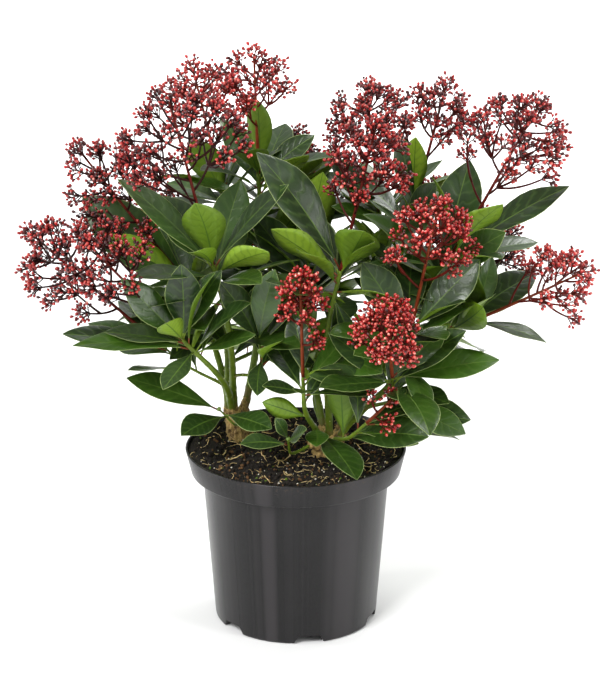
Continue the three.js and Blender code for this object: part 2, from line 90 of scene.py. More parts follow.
def new_object(name, data):
    """An object of the scene, made from its data."""
    made = bpy.data.objects.new(name, data)
    scene.collection.objects.link(made)
    return made


camera_data = bpy.data.cameras.new("camera")
camera_data.lens = CAMERA_LENS
camera_data.sensor_width = CAMERA_SENSOR
camera_data.clip_end = FARTHEST
camera = new_object("camera", camera_data)
back = Vector((0.0, -cos(CAMERA_PITCH), sin(CAMERA_PITCH)))
camera.location = CAMERA_TARGET + CAMERA_DISTANCE * back
camera.rotation_euler = (pi / 2 - CAMERA_PITCH, 0.0, 0.0)
scene.camera = camera
print("camera at", [round(value, 3) for value in camera.location])

# %% [markdown]
# ## Floor and light
#
# A product shot: a pale floor, a bright even sky and a few large soft lamps.  The tall lamps at
# the sides give the pot soft upright highlights, beside the highlight bands painted into its
# plastic, and the one above and behind gives the leaves their grey sheen.  The floor is very wide,
# and glows a little far out, so that it stays pale up to the horizon from any side.

# %% Floor and lamps
SKY_STRENGTH = 0.5
HEART = (0.0, 0.0, 0.28)  # the middle of the plant
LAMPS = (  # name, place, the point that it faces, width and height, power
    ("key", (-1.2, -1.8, 2.1), HEART, (1.1, 1.1), 74),
    ("fill", (1.9, -1.2, 0.9), HEART, (0.5, 1.8), 23),
    ("side", (-2.0, -0.1, 0.8), HEART, (0.3, 1.8), 14),
    ("crown", (0.9, 1.0, 2.1), HEART, (1.2, 0.8), 30),
    ("backdrop", (0.0, 3.2, 3.0), (0.0, 3.4, 0.0), (6.0, 2.6), 210),
)
BACKDROP_SPREAD = radians(96)
FLOOR_HALF = 20.0
FLOOR_GLOW = (1.4, 3.6, 0.6)  # where the far floor begins to glow, where it is full, how strong

scene.view_settings.view_transform = "Standard"
scene.view_settings.look = "None"

sky = bpy.data.worlds.new("studio")
sky.use_nodes = True
sky_background = next(node for node in sky.node_tree.nodes if node.type == "BACKGROUND")
sky_background.inputs["Color"].default_value = (1.0, 1.0, 1.0, 1.0)
sky_background.inputs["Strength"].default_value = SKY_STRENGTH
scene.world = sky


def plain_material(name, colour, roughness):
    """A Principled material of one colour, with its shader."""
    material = bpy.data.materials.new(name)
    material.use_nodes = True
    shader = material.node_tree.nodes["Principled BSDF"]
    shader.inputs["Base Color"].default_value = (*colour, 1.0)
    shader.inputs["Roughness"].default_value = roughness
    return material, shader


def soft_lamp(name, place, aim_at, size, power):
    """A rectangular lamp that faces a point."""
    lamp = bpy.data.lights.new(name, "AREA")
    lamp.shape = "RECTANGLE"
    lamp.size, lamp.size_y = size
    lamp.energy = power
    holder = new_object(name, lamp)
    holder.location = place
    holder.rotation_euler = (Vector(aim_at) - Vector(place)).to_track_quat("-Z", "Y").to_euler()
    return holder


lamps = {name: soft_lamp(name, *settings) for name, *settings in LAMPS}
lamps["backdrop"].data.spread = BACKDROP_SPREAD

floor_mesh = bpy.data.meshes.new("floor")
floor_mesh.from_pydata(
    [(x * FLOOR_HALF, y * FLOOR_HALF, 0.0) for x, y in ((-1, -1), (1, -1), (1, 1), (-1, 1))],
    [], [(0, 1, 2, 3)],
)
floor = new_object("floor", floor_mesh)
pale_floor, shader = plain_material("pale_floor", (0.9, 0.9, 0.9), 0.7)
tree = pale_floor.node_tree
place = tree.nodes.new("ShaderNodeTexCoord")
reach = tree.nodes.new("ShaderNodeVectorMath")
reach.operation = "LENGTH"
glow = tree.nodes.new("ShaderNodeMapRange")
for socket, value in zip(("From Min", "From Max", "To Max"), FLOOR_GLOW):
    glow.inputs[socket].default_value = value
tree.links.new(place.outputs["Object"], reach.inputs[0])
tree.links.new(reach.outputs["Value"], glow.inputs["Value"])
tree.links.new(glow.outputs["Result"], shader.inputs["Emission Color"])
shader.inputs["Emission Strength"].default_value = 1.0
floor.data.materials.append(pale_floor)
floor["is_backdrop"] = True
print("floor and", len(lamps), "lamps")

# %% [markdown]
# ## Vectors and repeatable chance
#
# The plant grows by a rule that is written down once for the solids and once more here.  Both
# need the same chances, so the rule has its own small generator: the same seed gives the same
# numbers everywhere.

# %% Vectors and chance
MM = 0.001  # the rule's own unit
GOLDEN = 137.5  # degrees from one leaf to the next round a stem
UP = np.array((0.0, 0.0, 1.0))
SEEDS = {"whorl": 1, "head": 100, "blade": 500, "joints": 900, "bunches": 2000, "fill": 3000}


def unit(vector):
    return vector / np.linalg.norm(vector)


def mix(low, high, share):
    return low + (high - low) * share


def spin(vector, axis, angle):
    """A vector turned about a unit axis, by an angle in radians."""
    along = axis * np.dot(axis, vector)
    return along + (vector - along) * cos(angle) + np.cross(axis, vector) * sin(angle)


def aim(lean, heading):
    """The direction that leans so many degrees from upright, towards a bearing."""
    level = sin(radians(lean))
    bearing = radians(heading)
    return np.array((level * cos(bearing), level * sin(bearing), cos(radians(lean))))


def across(along):
    """Two directions across another one: the first is the one nearest +X."""
    right = unit(np.array((1.0, 0.0, 0.0)) - along * along[0])
    return right, np.cross(along, right)


def sideways(along, bearing):
    """The direction across another one at a bearing round it, in radians."""
    right, behind = across(along)
    return right * cos(bearing) + behind * sin(bearing)


def opened(along, bearing, angle):
    """The direction that opens from another one by an angle, at a bearing; in radians."""
    return along * cos(angle) + sideways(along, bearing) * sin(angle)


def seeded(seed):
    """A function that draws repeatable numbers between two bounds."""
    state = (seed * 2654435761) & 0xFFFFFFFF

    def draw(low, high):
        nonlocal state
        state = (state * 1664525 + 1013904223) & 0xFFFFFFFF
        return mix(low, high, state / 4294967296)

    return draw


print("the first chance of seed 1:", round(seeded(1)(0, 1), 4))

# %% [markdown]
# ## Curves that are walked by their length
#
# Stems and stalks are Bezier curves.  A Bezier curve's own parameter runs fast where its
# handles are long, so each curve keeps a small table that turns a share of its length into that
# parameter.  Leaves and branches can then be placed evenly.

# %% Curves
CURVE_MARKS = 200
CURVE_STEP = 1e-4  # how far a curve's direction is measured to either side


class Curve:
    """A Bezier curve of any order, walked by shares of its length."""

    def __init__(self, *points):
        self.points = np.array(points)
        self.marks = np.linspace(0.0, 1.0, CURVE_MARKS + 1)
        steps = np.diff(self.bezier(self.marks), axis=0)
        self.lengths = np.concatenate(([0.0], np.cumsum(np.linalg.norm(steps, axis=1))))

    def bezier(self, marks):
        marks = np.atleast_1d(marks)[:, None, None]
        points = np.repeat(self.points[None], len(marks), axis=0)
        while points.shape[1] > 1:
            points = points[:, :-1] * (1 - marks) + points[:, 1:] * marks
        return points[:, 0]

    def mark(self, share):
        return np.interp(np.asarray(share) * self.lengths[-1], self.lengths, self.marks)

    def at(self, share):
        return self.bezier(self.mark(share))[0]

    def walk(self, steps, start=0.0, stop=1.0):
        """Evenly spaced points between two shares."""
        return [self.at(share) for share in np.linspace(start, stop, steps)]

    def along(self, share):
        mark = float(self.mark(share))
        low, high = max(mark - CURVE_STEP, 0.0), min(mark + CURVE_STEP, 1.0)
        return unit(self.bezier(high)[0] - self.bezier(low)[0])

    def length(self):
        return self.lengths[-1]


print("a straight curve's middle:", Curve((0, 0, 0), (1, 0, 0), (2, 0, 0)).at(0.5))

# %% [markdown]
# ## The plan of the shoots
#
# Twenty-seven shoots make this plant.  Each row says what a shoot springs from, where the top
# of its whorl stands, how it leans, and how large its flower head and its whorl are.  The sizes
# are in millimetres and the angles in degrees; heights are counted from the soil.

# %% Shoots
COLUMNS = (
    "name on at toward reach up lean heading head span arms leaves blade stack turn".split()
)
SHOOTS = [dict(zip(COLUMNS, row)) for row in (
    ("left_tall", "left", 0, 207, 76, 179, 14, 195, 152, 54, 9, 8, 84, 26, 22),
    ("left_peak", "left", 0, 125, 55, 236, 5, 250, 114, 32, 7, 8, 84, 32, 20),
    ("left_low", "left", 0, 206, 104, 118, 42, 196, 134, 34, 7, 8, 84, 24, 60),
    ("left_upper", "left", 0, 170, 87, 140, 38, 183, 164, 34, 7, 8, 80, 26, 200),
    ("left_back", "left", 0, 140, 125, 125, 38, 138, 112, 32, 5, 6, 84, 30, 10),
    ("left_far", "left_low", 0.5, 186, 114, 102, 48, 185, 152, 36, 7, 7, 84, 24, 150),
    ("left_crown", "left_peak", 0.45, 132, 95, 220, 15, 157, 112, 32, 7, 8, 78, 28, 300),
    ("left_inner", "left_tall", 0.35, 227, 45, 112, 16, 250, 0, 0, 0, 7, 74, 26, 40),
    ("left_foot", "left", 0, 190, 66, 44, 40, 200, 0, 0, 0, 6, 66, 18, 250),
    ("left_behind", "left_back", 0.4, 108, 118, 92, 48, 105, 90, 26, 4, 7, 80, 28, 80),
    ("middle_back", "left_peak", 0.3, 96, 98, 196, 26, 60, 70, 20, 3, 7, 84, 30, 130),
    ("middle_tall", "right", 0, 318, 50, 174, 13, 350, 134, 34, 8, 8, 80, 28, 37),
    ("middle_front", "right", 0, 276, 58, 90, 16, 265, 106, 25, 6, 8, 70, 24, 210),
    ("middle_inner", "middle_tall", 0.5, 75, 40, 150, 12, 100, 0, 0, 0, 7, 84, 32, 0),
    ("middle_rear", "right", 0, 84, 88, 128, 32, 86, 110, 30, 5, 7, 84, 30, 45),
    ("right_peak", "right", 0, 22, 108, 208, 14, 5, 116, 30, 7, 8, 84, 30, 70),
    ("right_rear", "right_peak", 0.5, 48, 108, 194, 8, 140, 116, 36, 7, 7, 80, 28, 190),
    ("right_upper", "right_peak", 0.6, 358, 132, 180, 28, 354, 152, 42, 8, 8, 88, 28, 57),
    ("right_front", "right", 0, 332, 108, 130, 14, 315, 120, 38, 8, 8, 82, 26, 90),
    ("right_far", "right", 0, 356, 148, 122, 66, 356, 112, 36, 7, 7, 84, 28, 20),
    ("right_low", "right_front", 0.4, 316, 110, 96, 36, 262, 90, 27, 7, 8, 84, 24, 227),
    ("right_inner", "right_far", 0.45, 8, 112, 140, 34, 14, 88, 24, 5, 7, 76, 24, 120),
    ("right_back", "middle_rear", 0.4, 50, 142, 118, 40, 52, 108, 30, 5, 7, 84, 28, 220),
    ("right_side", "right_far", 0.4, 25, 150, 112, 48, 28, 92, 26, 4, 7, 82, 26, 340),
    ("right_foot", "right", 0, 312, 88, 52, 46, 318, 46, 15, 3, 8, 68, 20, 200),
    ("front_foot", "right", 0, 262, 46, 30, 30, 262, 0, 0, 0, 6, 64, 16, 190),
    ("back_foot", "right", 0, 70, 66, 56, 40, 66, 0, 0, 0, 6, 70, 20, 60),
)]
MASSES = [f"mass_{shoot['name']}" for shoot in SHOOTS]
print(len(SHOOTS), "shoots,", sum(shoot["arms"] > 0 for shoot in SHOOTS), "of them with a head")

# %% [markdown]
# ## The stems' middle lines
#
# A stem leaves its clump, or its mother stem, and bends over to the way that its whorl looks.
# Four points say that: two ends and two handles a third of the way in.

# %% Middle lines of the stems
SOIL_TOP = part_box("soil")[1].z / MM
GAP = 0.3
CLUMPS = {
    "left": {"crown": (-52.0, 33.0, SOIL_TOP + GAP + 24.0), "head": 10.5},
    "right": {"crown": (27.0, -3.0, SOIL_TOP + GAP + 11.0), "head": 13.0},
}
STEM = {"ring": 0.62, "rooted": 3.0, "splay": 0.35, "part": 1.2}
stems = {}


def stem_curve(shoot):
    bearing = radians(shoot["toward"])
    top = np.array((
        shoot["reach"] * cos(bearing), shoot["reach"] * sin(bearing),
        SOIL_TOP + shoot["up"],
    ))
    along = aim(shoot["lean"], shoot["heading"])
    collar = top - along * shoot["stack"]
    clump = CLUMPS.get(shoot["on"])
    if clump:
        crown = np.array(clump["crown"])
        out = unit((collar - crown) * (1, 1, 0))
        start = crown + out * clump["head"] * STEM["ring"] - UP * STEM["rooted"]
        leave = unit(out * STEM["splay"] + UP)
    else:
        mother = stems[shoot["on"]]
        start = mother.at(shoot["at"])
        leave = unit(mother.along(shoot["at"]) + unit(collar - start) * STEM["part"])
    pull = np.linalg.norm(collar - start) / 3
    return Curve(start, start + leave * pull, collar - along * pull, collar)


for shoot in SHOOTS:
    stems[shoot["name"]] = stem_curve(shoot)
print("the longest stem is", round(max(stem.length() for stem in stems.values())), "mm")

# %% [markdown]
# ## Which leaves and arms the solids hold
#
# Where a leaf or a branch would have touched a neighbour, the solids have it turned aside, or
# left out.  The scene doesn't repeat that search.  A leaf ends in a point, so it is enough to
# look whether the solid has a corner where the tip would be, for each turn in the same order.

# %% Corners of the solids
from mathutils.kdtree import KDTree

CORNER_ROOM = 0.2  # millimetres between a corner and the place that the rule gives it


def corner_finder(node):
    """A function that says whether a solid has a corner at a place in millimetres."""
    vertices = NODES[node].data.vertices
    tree = KDTree(len(vertices))
    for vertex in vertices:
        tree.insert(vertex.co / MM, vertex.index)
    tree.balance()
    return lambda place: tree.find(Vector(place))[2] < CORNER_ROOM


has_corner = {shoot["name"]: corner_finder(f"mass_{shoot['name']}") for shoot in SHOOTS}
print("corners indexed for", len(has_corner), "masses")

# %% [markdown]
# ## The rule of a whorl
#
# Leaves follow the golden angle round the shoot.  The lowest opens almost flat, the topmost
# stands up, and the longest is just below the middle.  Every leaf varies a little in bearing,
# opening, length, width, arch and roll.

# %% Leaves of the whorls
LEAF = {
    "petiole": 0.1, "petiole_width": 2.0, "arch": 26.0, "slender": 2.6, "lowest": 78.0,
    "topmost": 34.0, "droop": 0.2, "skyward": 0.7, "widest": 1.3, "fullness": 0.8,
}
WHORL = {
    "lowest": 0.1, "highest": 0.94, "shorter": 0.22, "longest": 0.45, "bearing": 14.0,
    "open": 8.0, "roll": 18.0, "length": (0.88, 1.08), "slender": (0.88, 1.12),
    "arch": (0.4, 1.5),
}
LEAF_SHIFTS = ((0, 0), (18, 0), (-18, 0), (0, -16), (34, -8), (-34, -8), (0, 14))


def whorl(shoot, index):
    """Where each leaf of a shoot springs from, how it is aimed and how large it is."""
    draw = seeded(SEEDS["whorl"] + index)
    for k in range(shoot["leaves"]):
        rise = k / (shoot["leaves"] - 1)
        yield {
            "at": shoot["stack"] * mix(WHORL["lowest"], WHORL["highest"], rise),
            "bearing": shoot["turn"] + GOLDEN * k + draw(-WHORL["bearing"], WHORL["bearing"]),
            "open": mix(LEAF["lowest"], LEAF["topmost"], rise)
            + draw(-WHORL["open"], WHORL["open"]),
            "length": shoot["blade"] * draw(*WHORL["length"])
            * (1 - WHORL["shorter"] * (2 * (rise - WHORL["longest"])) ** 2),
            "slender": LEAF["slender"] * draw(*WHORL["slender"]),
            "arch": radians(LEAF["arch"] * draw(*WHORL["arch"])),
            "roll": draw(-WHORL["roll"], WHORL["roll"]),
        }


def seat_leaf(leaf, collar, along, shift):
    """A leaf's base, its first direction and the direction that its upper face looks."""
    bearing, opening = leaf["bearing"] + shift[0], leaf["open"] + shift[1]
    ahead = opened(along, radians(bearing), radians(opening))
    ahead[2] = max(ahead[2], -LEAF["droop"])
    ahead = unit(ahead)
    face = along + UP * LEAF["skyward"]
    face = unit(face - ahead * np.dot(face, ahead))
    return collar + along * leaf["at"], ahead, spin(face, ahead, radians(leaf["roll"]))


def midrib(leaf, seat, share):
    """A point of a leaf's midrib, which bends down along an arc."""
    base, ahead, face = seat
    arch, length = leaf["arch"], leaf["length"]
    bend = arch * share
    return base + ahead * length * sin(bend) / arch - face * length * (1 - cos(bend)) / arch


def leaf_points(leaf, seat, shares):
    """Points of a leaf's midrib at shares of its length."""
    return np.array([midrib(leaf, seat, share) for share in shares])


rule_leaves = []
for index, shoot in enumerate(SHOOTS):
    along = aim(shoot["lean"], shoot["heading"])
    collar = stems[shoot["name"]].at(1)
    for leaf in whorl(shoot, index):
        for shift in LEAF_SHIFTS:
            seat = seat_leaf(leaf, collar, along, shift)
            if has_corner[shoot["name"]](midrib(leaf, seat, 1.0)):
                rule_leaves.append({**leaf, "seat": seat})
                break
print(len(rule_leaves), "leaves of", sum(shoot["leaves"] for shoot in SHOOTS))

# %% [markdown]
# ## The leaves that catch the eye
#
# A rule gives a good crowd, but the face of a plant is made by the few leaves in front: the pale
# undersides that stand up to the light, the long ones that reach out past the rim.  These are
# set one by one.  Each row says which whorl a leaf springs from and how far up it (below zero, how
# far up the stem instead), where its tip shows in the camera's frame and how deep it lies in
# millimetres, where its upper face looks, and how slender it is.

# %% Chosen leaves
FRAME = (600, 683)  # the camera's frame, in the units of the places below
OPEN_VIEWS = (  # ellipses in the frame: middle, half width and half height
    ((232, 398), (58, 52)), ((100, 360), (62, 10)), ((118, 408), (62, 30)), ((312, 428), (56, 40)),
    ((290, 462), (110, 34)), ((530, 386), (90, 36)), ((524, 324), (46, 24)), ((440, 464), (54, 26)),
    ((70, 300), (26, 24)),
)
CHOSEN = (  # shoot, at, tip, the way that its upper face looks, slenderness
    ("left_tall", 1.0, (195, 203, -66), (0, 1, 0.3), 2.0),
    ("left_tall", 0.8, (117, 179, -46), (0.8, -0.4, 0.4), 3.3),
    ("left_tall", 0.9, (289, 184, -40), (-0.7, -0.3, 0.6), 3.4),
    ("left_tall", 0.7, (269, 252, -78), (0, 0.8, 0.6), 2.4),
    ("left_tall", 0.7, (241, 180, -4), (0.2, -1, 0.3), 2.6),
    ("left_tall", 1.0, (163, 196, 14), (0.4, -0.8, 0.5), 2.8),
    ("left_low", 0.9, (121, 279, -62), (0.3, -0.8, 0.6), 2.9),
    ("left_low", 1.0, (181, 264, -58), (0.1, -1, 0.2), 2.3),
    ("left_low", 1.0, (222, 270, -54), (-0.7, -0.7, 0.2), 2.8),
    ("left_low", 0.5, (72, 346, -60), (0.1, -0.3, 1), 3.4),
    ("left_low", 0.4, (163, 390, -86), (-0.2, -0.6, 0.8), 2.3),
    ("left_low", 0.3, (256, 335, -66), (0, -0.4, 1), 3.0),
    ("left_far", 0.7, (62, 334, -22), (0, -0.3, 1), 3.4),
    ("left_inner", 0.9, (219, 281, -48), (0.4, -0.8, 0.5), 2.7),
    ("left_inner", 1.0, (275, 269, -54), (-0.3, -1, 0.2), 2.8),
    ("left_inner", 0.3, (257, 396, -72), (0.1, -1, 0.4), 2.6),
    ("left_foot", 0.9, (126, 378, -22), (0, -0.5, 0.9), 2.9),
    ("left_foot", 0.5, (181, 436, -50), (-0.2, -0.7, 0.7), 2.1),
    ("left_foot", 0.6, (272, 429, -48), (0.3, -0.7, 0.7), 2.4),
    ("front_foot", 0.5, (240, 444, -60), (0, -0.6, 0.8), 2.6),
    ("front_foot", 1.0, (275, 418, -58), (0.4, -0.8, 0.5), 2.4),
    ("front_foot", 0.8, (307, 429, -68), (-0.2, -0.7, 0.7), 2.3),
    ("middle_front", -0.3, (357, 480, -94), (0.3, -0.5, 0.8), 2.4),
    ("middle_front", -0.4, (316, 447, -66), (0, -0.8, 0.7), 2.0),
    ("middle_front", -0.7, (262, 402, -24), (-0.1, 0.9, -0.2), 2.4),
    ("middle_front", 0.4, (302, 394, -88), (0, -0.9, 0.6), 1.9),
    ("middle_front", 0.3, (262, 386, -70), (0.2, -0.6, 0.8), 2.6),
    ("right_foot", -0.7, (429, 437, -84), (0, -0.6, 0.8), 2.6),
    ("right_foot", 0.2, (419, 444, -56), (0, -0.3, 1), 2.8),
    ("right_foot", 0.9, (460, 440, -44), (-0.2, -0.3, 1), 3.5),
    ("right_foot", -0.7, (341, 379, -52), (0.2, 1, 0.2), 2.2),
    ("right_foot", 0.8, (436, 398, -50), (-0.2, -0.5, 0.8), 3.0),
    ("middle_tall", 0.8, (271, 229, -48), (0.2, 0.9, 0.5), 2.5),
    ("middle_tall", 1.0, (364, 231, -66), (0.05, 1, 0.25), 1.5),
    ("middle_tall", 0.1, (352, 342, -54), (0.5, -0.8, 0.3), 2.8),
    ("middle_tall", 0.6, (316, 214, -8), (0.1, -0.9, 0.4), 2.8),
    ("middle_tall", 1.0, (256, 152, -26), (0.5, -0.8, 0.4), 3.0),
    ("middle_inner", 0.7, (252, 214, 10), (0.3, -0.8, 0.5), 2.8),
    ("middle_inner", 0.9, (323, 172, 28), (0, 0.9, 0.4), 2.8),
    ("left_peak", 1.0, (257, 99, 34), (0.2, 0.9, 0.2), 3.0),
    ("left_peak", 0.6, (224, 120, 60), (0.2, -0.8, 0.4), 2.6),
    ("left_peak", 0.8, (315, 135, 44), (0, -0.6, 0.8), 2.6),
    ("left_peak", 0.4, (309, 155, 14), (0, 0.5, 0.9), 2.4),
    ("left_crown", 0.4, (190, 138, 58), (0.2, 0.9, 0.3), 2.2),
    ("left_upper", 0.9, (104, 236, 6), (0, 0.7, 0.5), 2.4),
    ("left_upper", 0.7, (82, 196, 30), (0.3, -0.8, 0.4), 2.8),
    ("right_rear", 0.9, (330, 160, 60), (0.2, -0.7, 0.6), 2.7),
    ("right_peak", 1.0, (398, 136, 26), (0.5, -0.8, 0.2), 2.7),
    ("right_peak", 1.0, (416, 137, 16), (0.5, 0.8, 0), 3.0),
    ("right_peak", 0.2, (437, 183, 4), (-0.3, -0.8, 0.6), 2.6),
    ("right_upper", 1.0, (503, 204, -30), (-0.3, 0.8, 0.6), 2.1),
    ("right_upper", 0.8, (570, 186, 6), (-0.5, -0.4, 0.8), 3.6),
    ("right_upper", 0.6, (470, 160, 14), (0.1, -0.9, 0.3), 2.4),
    ("right_upper", 0.3, (506, 232, -40), (-0.2, -0.8, 0.6), 2.8),
    ("right_far", 1.0, (547, 343, -32), (0, -0.3, 1), 3.3),
    ("right_far", 0.8, (492, 297, -58), (-0.6, 0.6, 0.3), 2.0),
    ("right_far", 0.7, (537, 273, 22), (-0.2, -0.7, 0.7), 2.5),
    ("right_low", 0.9, (500, 360, -74), (0, -0.5, 0.9), 2.8),
    ("right_low", 0.8, (309, 376, -90), (0, -0.5, 0.9), 2.7),
    ("right_low", 1.0, (447, 326, -78), (-0.3, -0.8, 0.5), 2.6),
    ("right_low", 0.3, (398, 400, -104), (0, -1, 0.5), 2.2),
    ("right_front", 0.9, (480, 259, -50), (-0.4, -0.8, 0.5), 2.5),
    ("right_front", 0.5, (469, 308, -58), (-0.2, -0.4, 1), 3.3),
    ("right_front", 0.6, (362, 262, -36), (0.3, -0.9, 0.4), 2.4),
)
print(len(CHOSEN), "leaves to set one by one")

# %% [markdown]
# ## Through the camera
#
# Where a tip shows and how deep it lies give its place: it is found along the ray that leaves
# the camera through that point of the frame.  The way back, from a place to the point where it
# shows, tells whether a leaf would close an open view.

# %% Places in the frame
UNIT_REACH = camera_data.sensor_width / camera_data.lens / FRAME[1]  # one unit, a metre away


def seen_at(aside, down, depth):
    """The place that shows at a point of the camera's frame, at a depth; in millimetres."""
    aside, rise = (aside - FRAME[0] / 2) * UNIT_REACH, (FRAME[1] / 2 - down) * UNIT_REACH
    ray = np.array((
        aside, cos(CAMERA_PITCH) + rise * sin(CAMERA_PITCH),
        rise * cos(CAMERA_PITCH) - sin(CAMERA_PITCH),
    ))
    eye = np.array(camera.location) / MM
    return eye + ray * (depth - eye[1]) / ray[1]


def shows_at(place):
    """Where a place in millimetres shows in the camera's frame."""
    way = place - np.array(camera.location) / MM
    depth = way[1] * cos(CAMERA_PITCH) - way[2] * sin(CAMERA_PITCH)
    rise = way[1] * sin(CAMERA_PITCH) + way[2] * cos(CAMERA_PITCH)
    return np.array((
        FRAME[0] / 2 + way[0] / depth / UNIT_REACH, FRAME[1] / 2 - rise / depth / UNIT_REACH,
    ))


def closes_view(points):
    """Whether one of a leaf's points shows inside an open view."""
    shown = [shows_at(point) for point in points]
    return any(np.linalg.norm((point - middle) / halves) < 1
               for middle, halves in OPEN_VIEWS for point in shown)


print("the middle of the frame shows the place", seen_at(FRAME[0] / 2, FRAME[1] / 2, 0).round())

# %% [markdown]
# ## Setting the leaves
#
# A chosen leaf is an even bend between its two ends, and its upper face looks as near as it can
# to the way that its row asks for.  Rule leaves that would cross one are left out, and so are
# those that would close a view that is open on the plant: on the soil, on the bare stems, and
# past its flanks.

# %% Set leaves
CHOSEN_ARCH = radians(20)
CROSSING = 5.0  # millimetres; leaves that come nearer would cross
MARK_SHARES = (0.3, 0.5, 0.75, 1.0)  # where a leaf is measured against the others
OUTER_SHARES = (0.5, 0.75, 1.0)
VIEW_SHARES = (0.6, 0.8, 1.0)
shoot_named = {shoot["name"]: shoot for shoot in SHOOTS}


def set_leaf(name, at, tip, looks, slender):
    """A leaf from a shoot's whorl, or from the stem below it, to its tip."""
    shoot, stem, looks = shoot_named[name], stems[name], np.array(looks, float)
    along = aim(shoot["lean"], shoot["heading"])
    base = stem.at(-at) if at < 0 else stem.at(1) + along * shoot["stack"] * at
    way = seen_at(*tip) - base
    chord, half = np.linalg.norm(way), CHOSEN_ARCH / 2
    way = way / chord
    outlook = unit(looks - way * np.dot(looks, way))
    seat = (base, way * cos(half) + outlook * sin(half),
            outlook * cos(half) - way * sin(half))
    return {"seat": seat, "length": chord * half / sin(half), "slender": slender,
            "arch": CHOSEN_ARCH}


def crosses(leaf, others):
    """Whether a leaf's outer half comes near to places of other leaves."""
    points = leaf_points(leaf, leaf["seat"], OUTER_SHARES)
    return np.linalg.norm(points[:, None] - others[None], axis=2).min() < CROSSING


leaves = [set_leaf(*row) for row in CHOSEN]
print("the longest chosen leaf is", round(max(leaf["length"] for leaf in leaves)), "mm")
marks = np.concatenate([leaf_points(leaf, leaf["seat"], MARK_SHARES) for leaf in leaves])
for leaf in rule_leaves:
    if not (closes_view(leaf_points(leaf, leaf["seat"], VIEW_SHARES)) or crosses(leaf, marks)):
        leaves.append(leaf)
print(len(leaves), "leaves with those of the rule")

# %% [markdown]
# ## More leaves between them
#
# The solids hold the leaves that give the plant its reach.  A real whorl is fuller: younger
# leaves stand up between them, and some older ones are left on the stem below.  They follow the
# same rule, stay inside the same reach, and keep clear of the other leaves, as leaves do that
# need their light.

# %% Leaves that fill the whorls
FILL = {
    "room": 7.0, "inside": 2.0, "above_soil": 5.0, "aside": 68.0, "bearing": 24.0, "roll": 26.0,
    "length": (0.8, 1.04), "slender": (0.84, 1.1), "arch": (0.2, 1.7),
}
YOUNG = {
    "count": 8, "spared": 2, "at": (0.2, 1.0), "open": (62.0, 14.0), "varies": 9.0,
    "size": (1.02, 0.84),
}
OLD = {"count": 4, "first": 3, "share": (0.55, 0.93), "open": (40.0, 76.0), "size": (0.8, 0.95)}
FILL_SHIFTS = ((0, 0), (26, 0), (-26, 0), (52, -10), (-52, -10), (78, 8), (-78, 8))
RIM = {"inside": 84.0, "outside": 104.0, "above": 4.0}


def young_leaves(shoot, draw):
    """Leaves that stand up in a whorl, with the place and the way of their stem."""
    along = aim(shoot["lean"], shoot["heading"])
    chosen = sum(row[0] == shoot["name"] for row in CHOSEN)
    for k in range(max(YOUNG["count"] - YOUNG["spared"] * chosen, 0)):
        rise = k / (YOUNG["count"] - 1)
        yield stems[shoot["name"]].at(1), along, {
            "at": shoot["stack"] * mix(*YOUNG["at"], rise),
            "open": mix(*YOUNG["open"], rise) + draw(-YOUNG["varies"], YOUNG["varies"]),
            "size": mix(*YOUNG["size"], rise), "number": k,
        }


def old_leaves(shoot, draw):
    """Leaves that are left on the stem below a whorl."""
    stem = stems[shoot["name"]]
    for k in range(OLD["count"]):
        share = mix(*OLD["share"], k / (OLD["count"] - 1))
        yield stem.at(share), stem.along(share), {
            "at": 0.0, "open": draw(*OLD["open"]), "size": mix(*OLD["size"], share),
            "number": OLD["first"] + k,
        }


def has_room(points, taken):
    """Whether a leaf's points lie inside the plant's reach and clear of other leaves."""
    low = np.array(CAD_BOX[0]) / MM + FILL["inside"]
    high = np.array(CAD_BOX[1]) / MM - FILL["inside"]
    if (points < low).any() or (points > high).any():
        return False
    from_axis = np.hypot(points[:, 0], points[:, 1])
    rim_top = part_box("pot")[1].z / MM
    over_rim = (from_axis > RIM["inside"]) & (from_axis < RIM["outside"])
    if (points[over_rim, 2] < rim_top + RIM["above"]).any():
        return False
    if (points[from_axis <= RIM["inside"], 2] < SOIL_TOP + FILL["above_soil"]).any():
        return False
    if closes_view(points):
        return False
    apart = np.linalg.norm(points[:, None] - taken[None], axis=2)
    return apart.min() > FILL["room"]


taken = np.concatenate([leaf_points(leaf, leaf["seat"], MARK_SHARES) for leaf in leaves])
for index, shoot in enumerate(SHOOTS):
    draw = seeded(SEEDS["fill"] + index)
    for collar, along, leaf in (*young_leaves(shoot, draw), *old_leaves(shoot, draw)):
        leaf["bearing"] = (shoot["turn"] + FILL["aside"] + GOLDEN * leaf["number"]
                           + draw(-FILL["bearing"], FILL["bearing"]))
        leaf["length"] = shoot["blade"] * leaf["size"] * draw(*FILL["length"])
        leaf["slender"] = LEAF["slender"] * draw(*FILL["slender"])
        leaf["arch"] = radians(LEAF["arch"] * draw(*FILL["arch"]))
        leaf["roll"] = draw(-FILL["roll"], FILL["roll"])
        for shift in FILL_SHIFTS:
            seat = seat_leaf(leaf, collar, along, shift)
            points = leaf_points(leaf, seat, MARK_SHARES)
            if has_room(points, taken):
                leaves.append({**leaf, "seat": seat})
                taken = np.concatenate((taken, points))
                break
print(len(leaves), "leaves with those that fill the whorls")

# %% [markdown]
# ## The rule of a flower head
#
# Above its whorl the shoot goes on as the red stalk of a flower head.  Side branches spiral up
# it, each ending in a bunch of buds, and one more bunch ends the stalk.

# %% Stalks and arms of the heads
HEAD = {
    "bare": 0.34, "highest": 0.9, "spread": 50.0, "closing": 14.0, "shorter": 0.45,
    "aside": 90.0, "bunch": 10.0, "end": 12.0, "smaller": 0.15, "least": 3.0, "lift": 0.05,
    "bearing": 15.0, "open": 7.0, "size": (0.88, 1.08),
}
ARM_SHIFTS = ((0, 0), (22, 0), (-22, 0), (45, 6), (-45, 6))


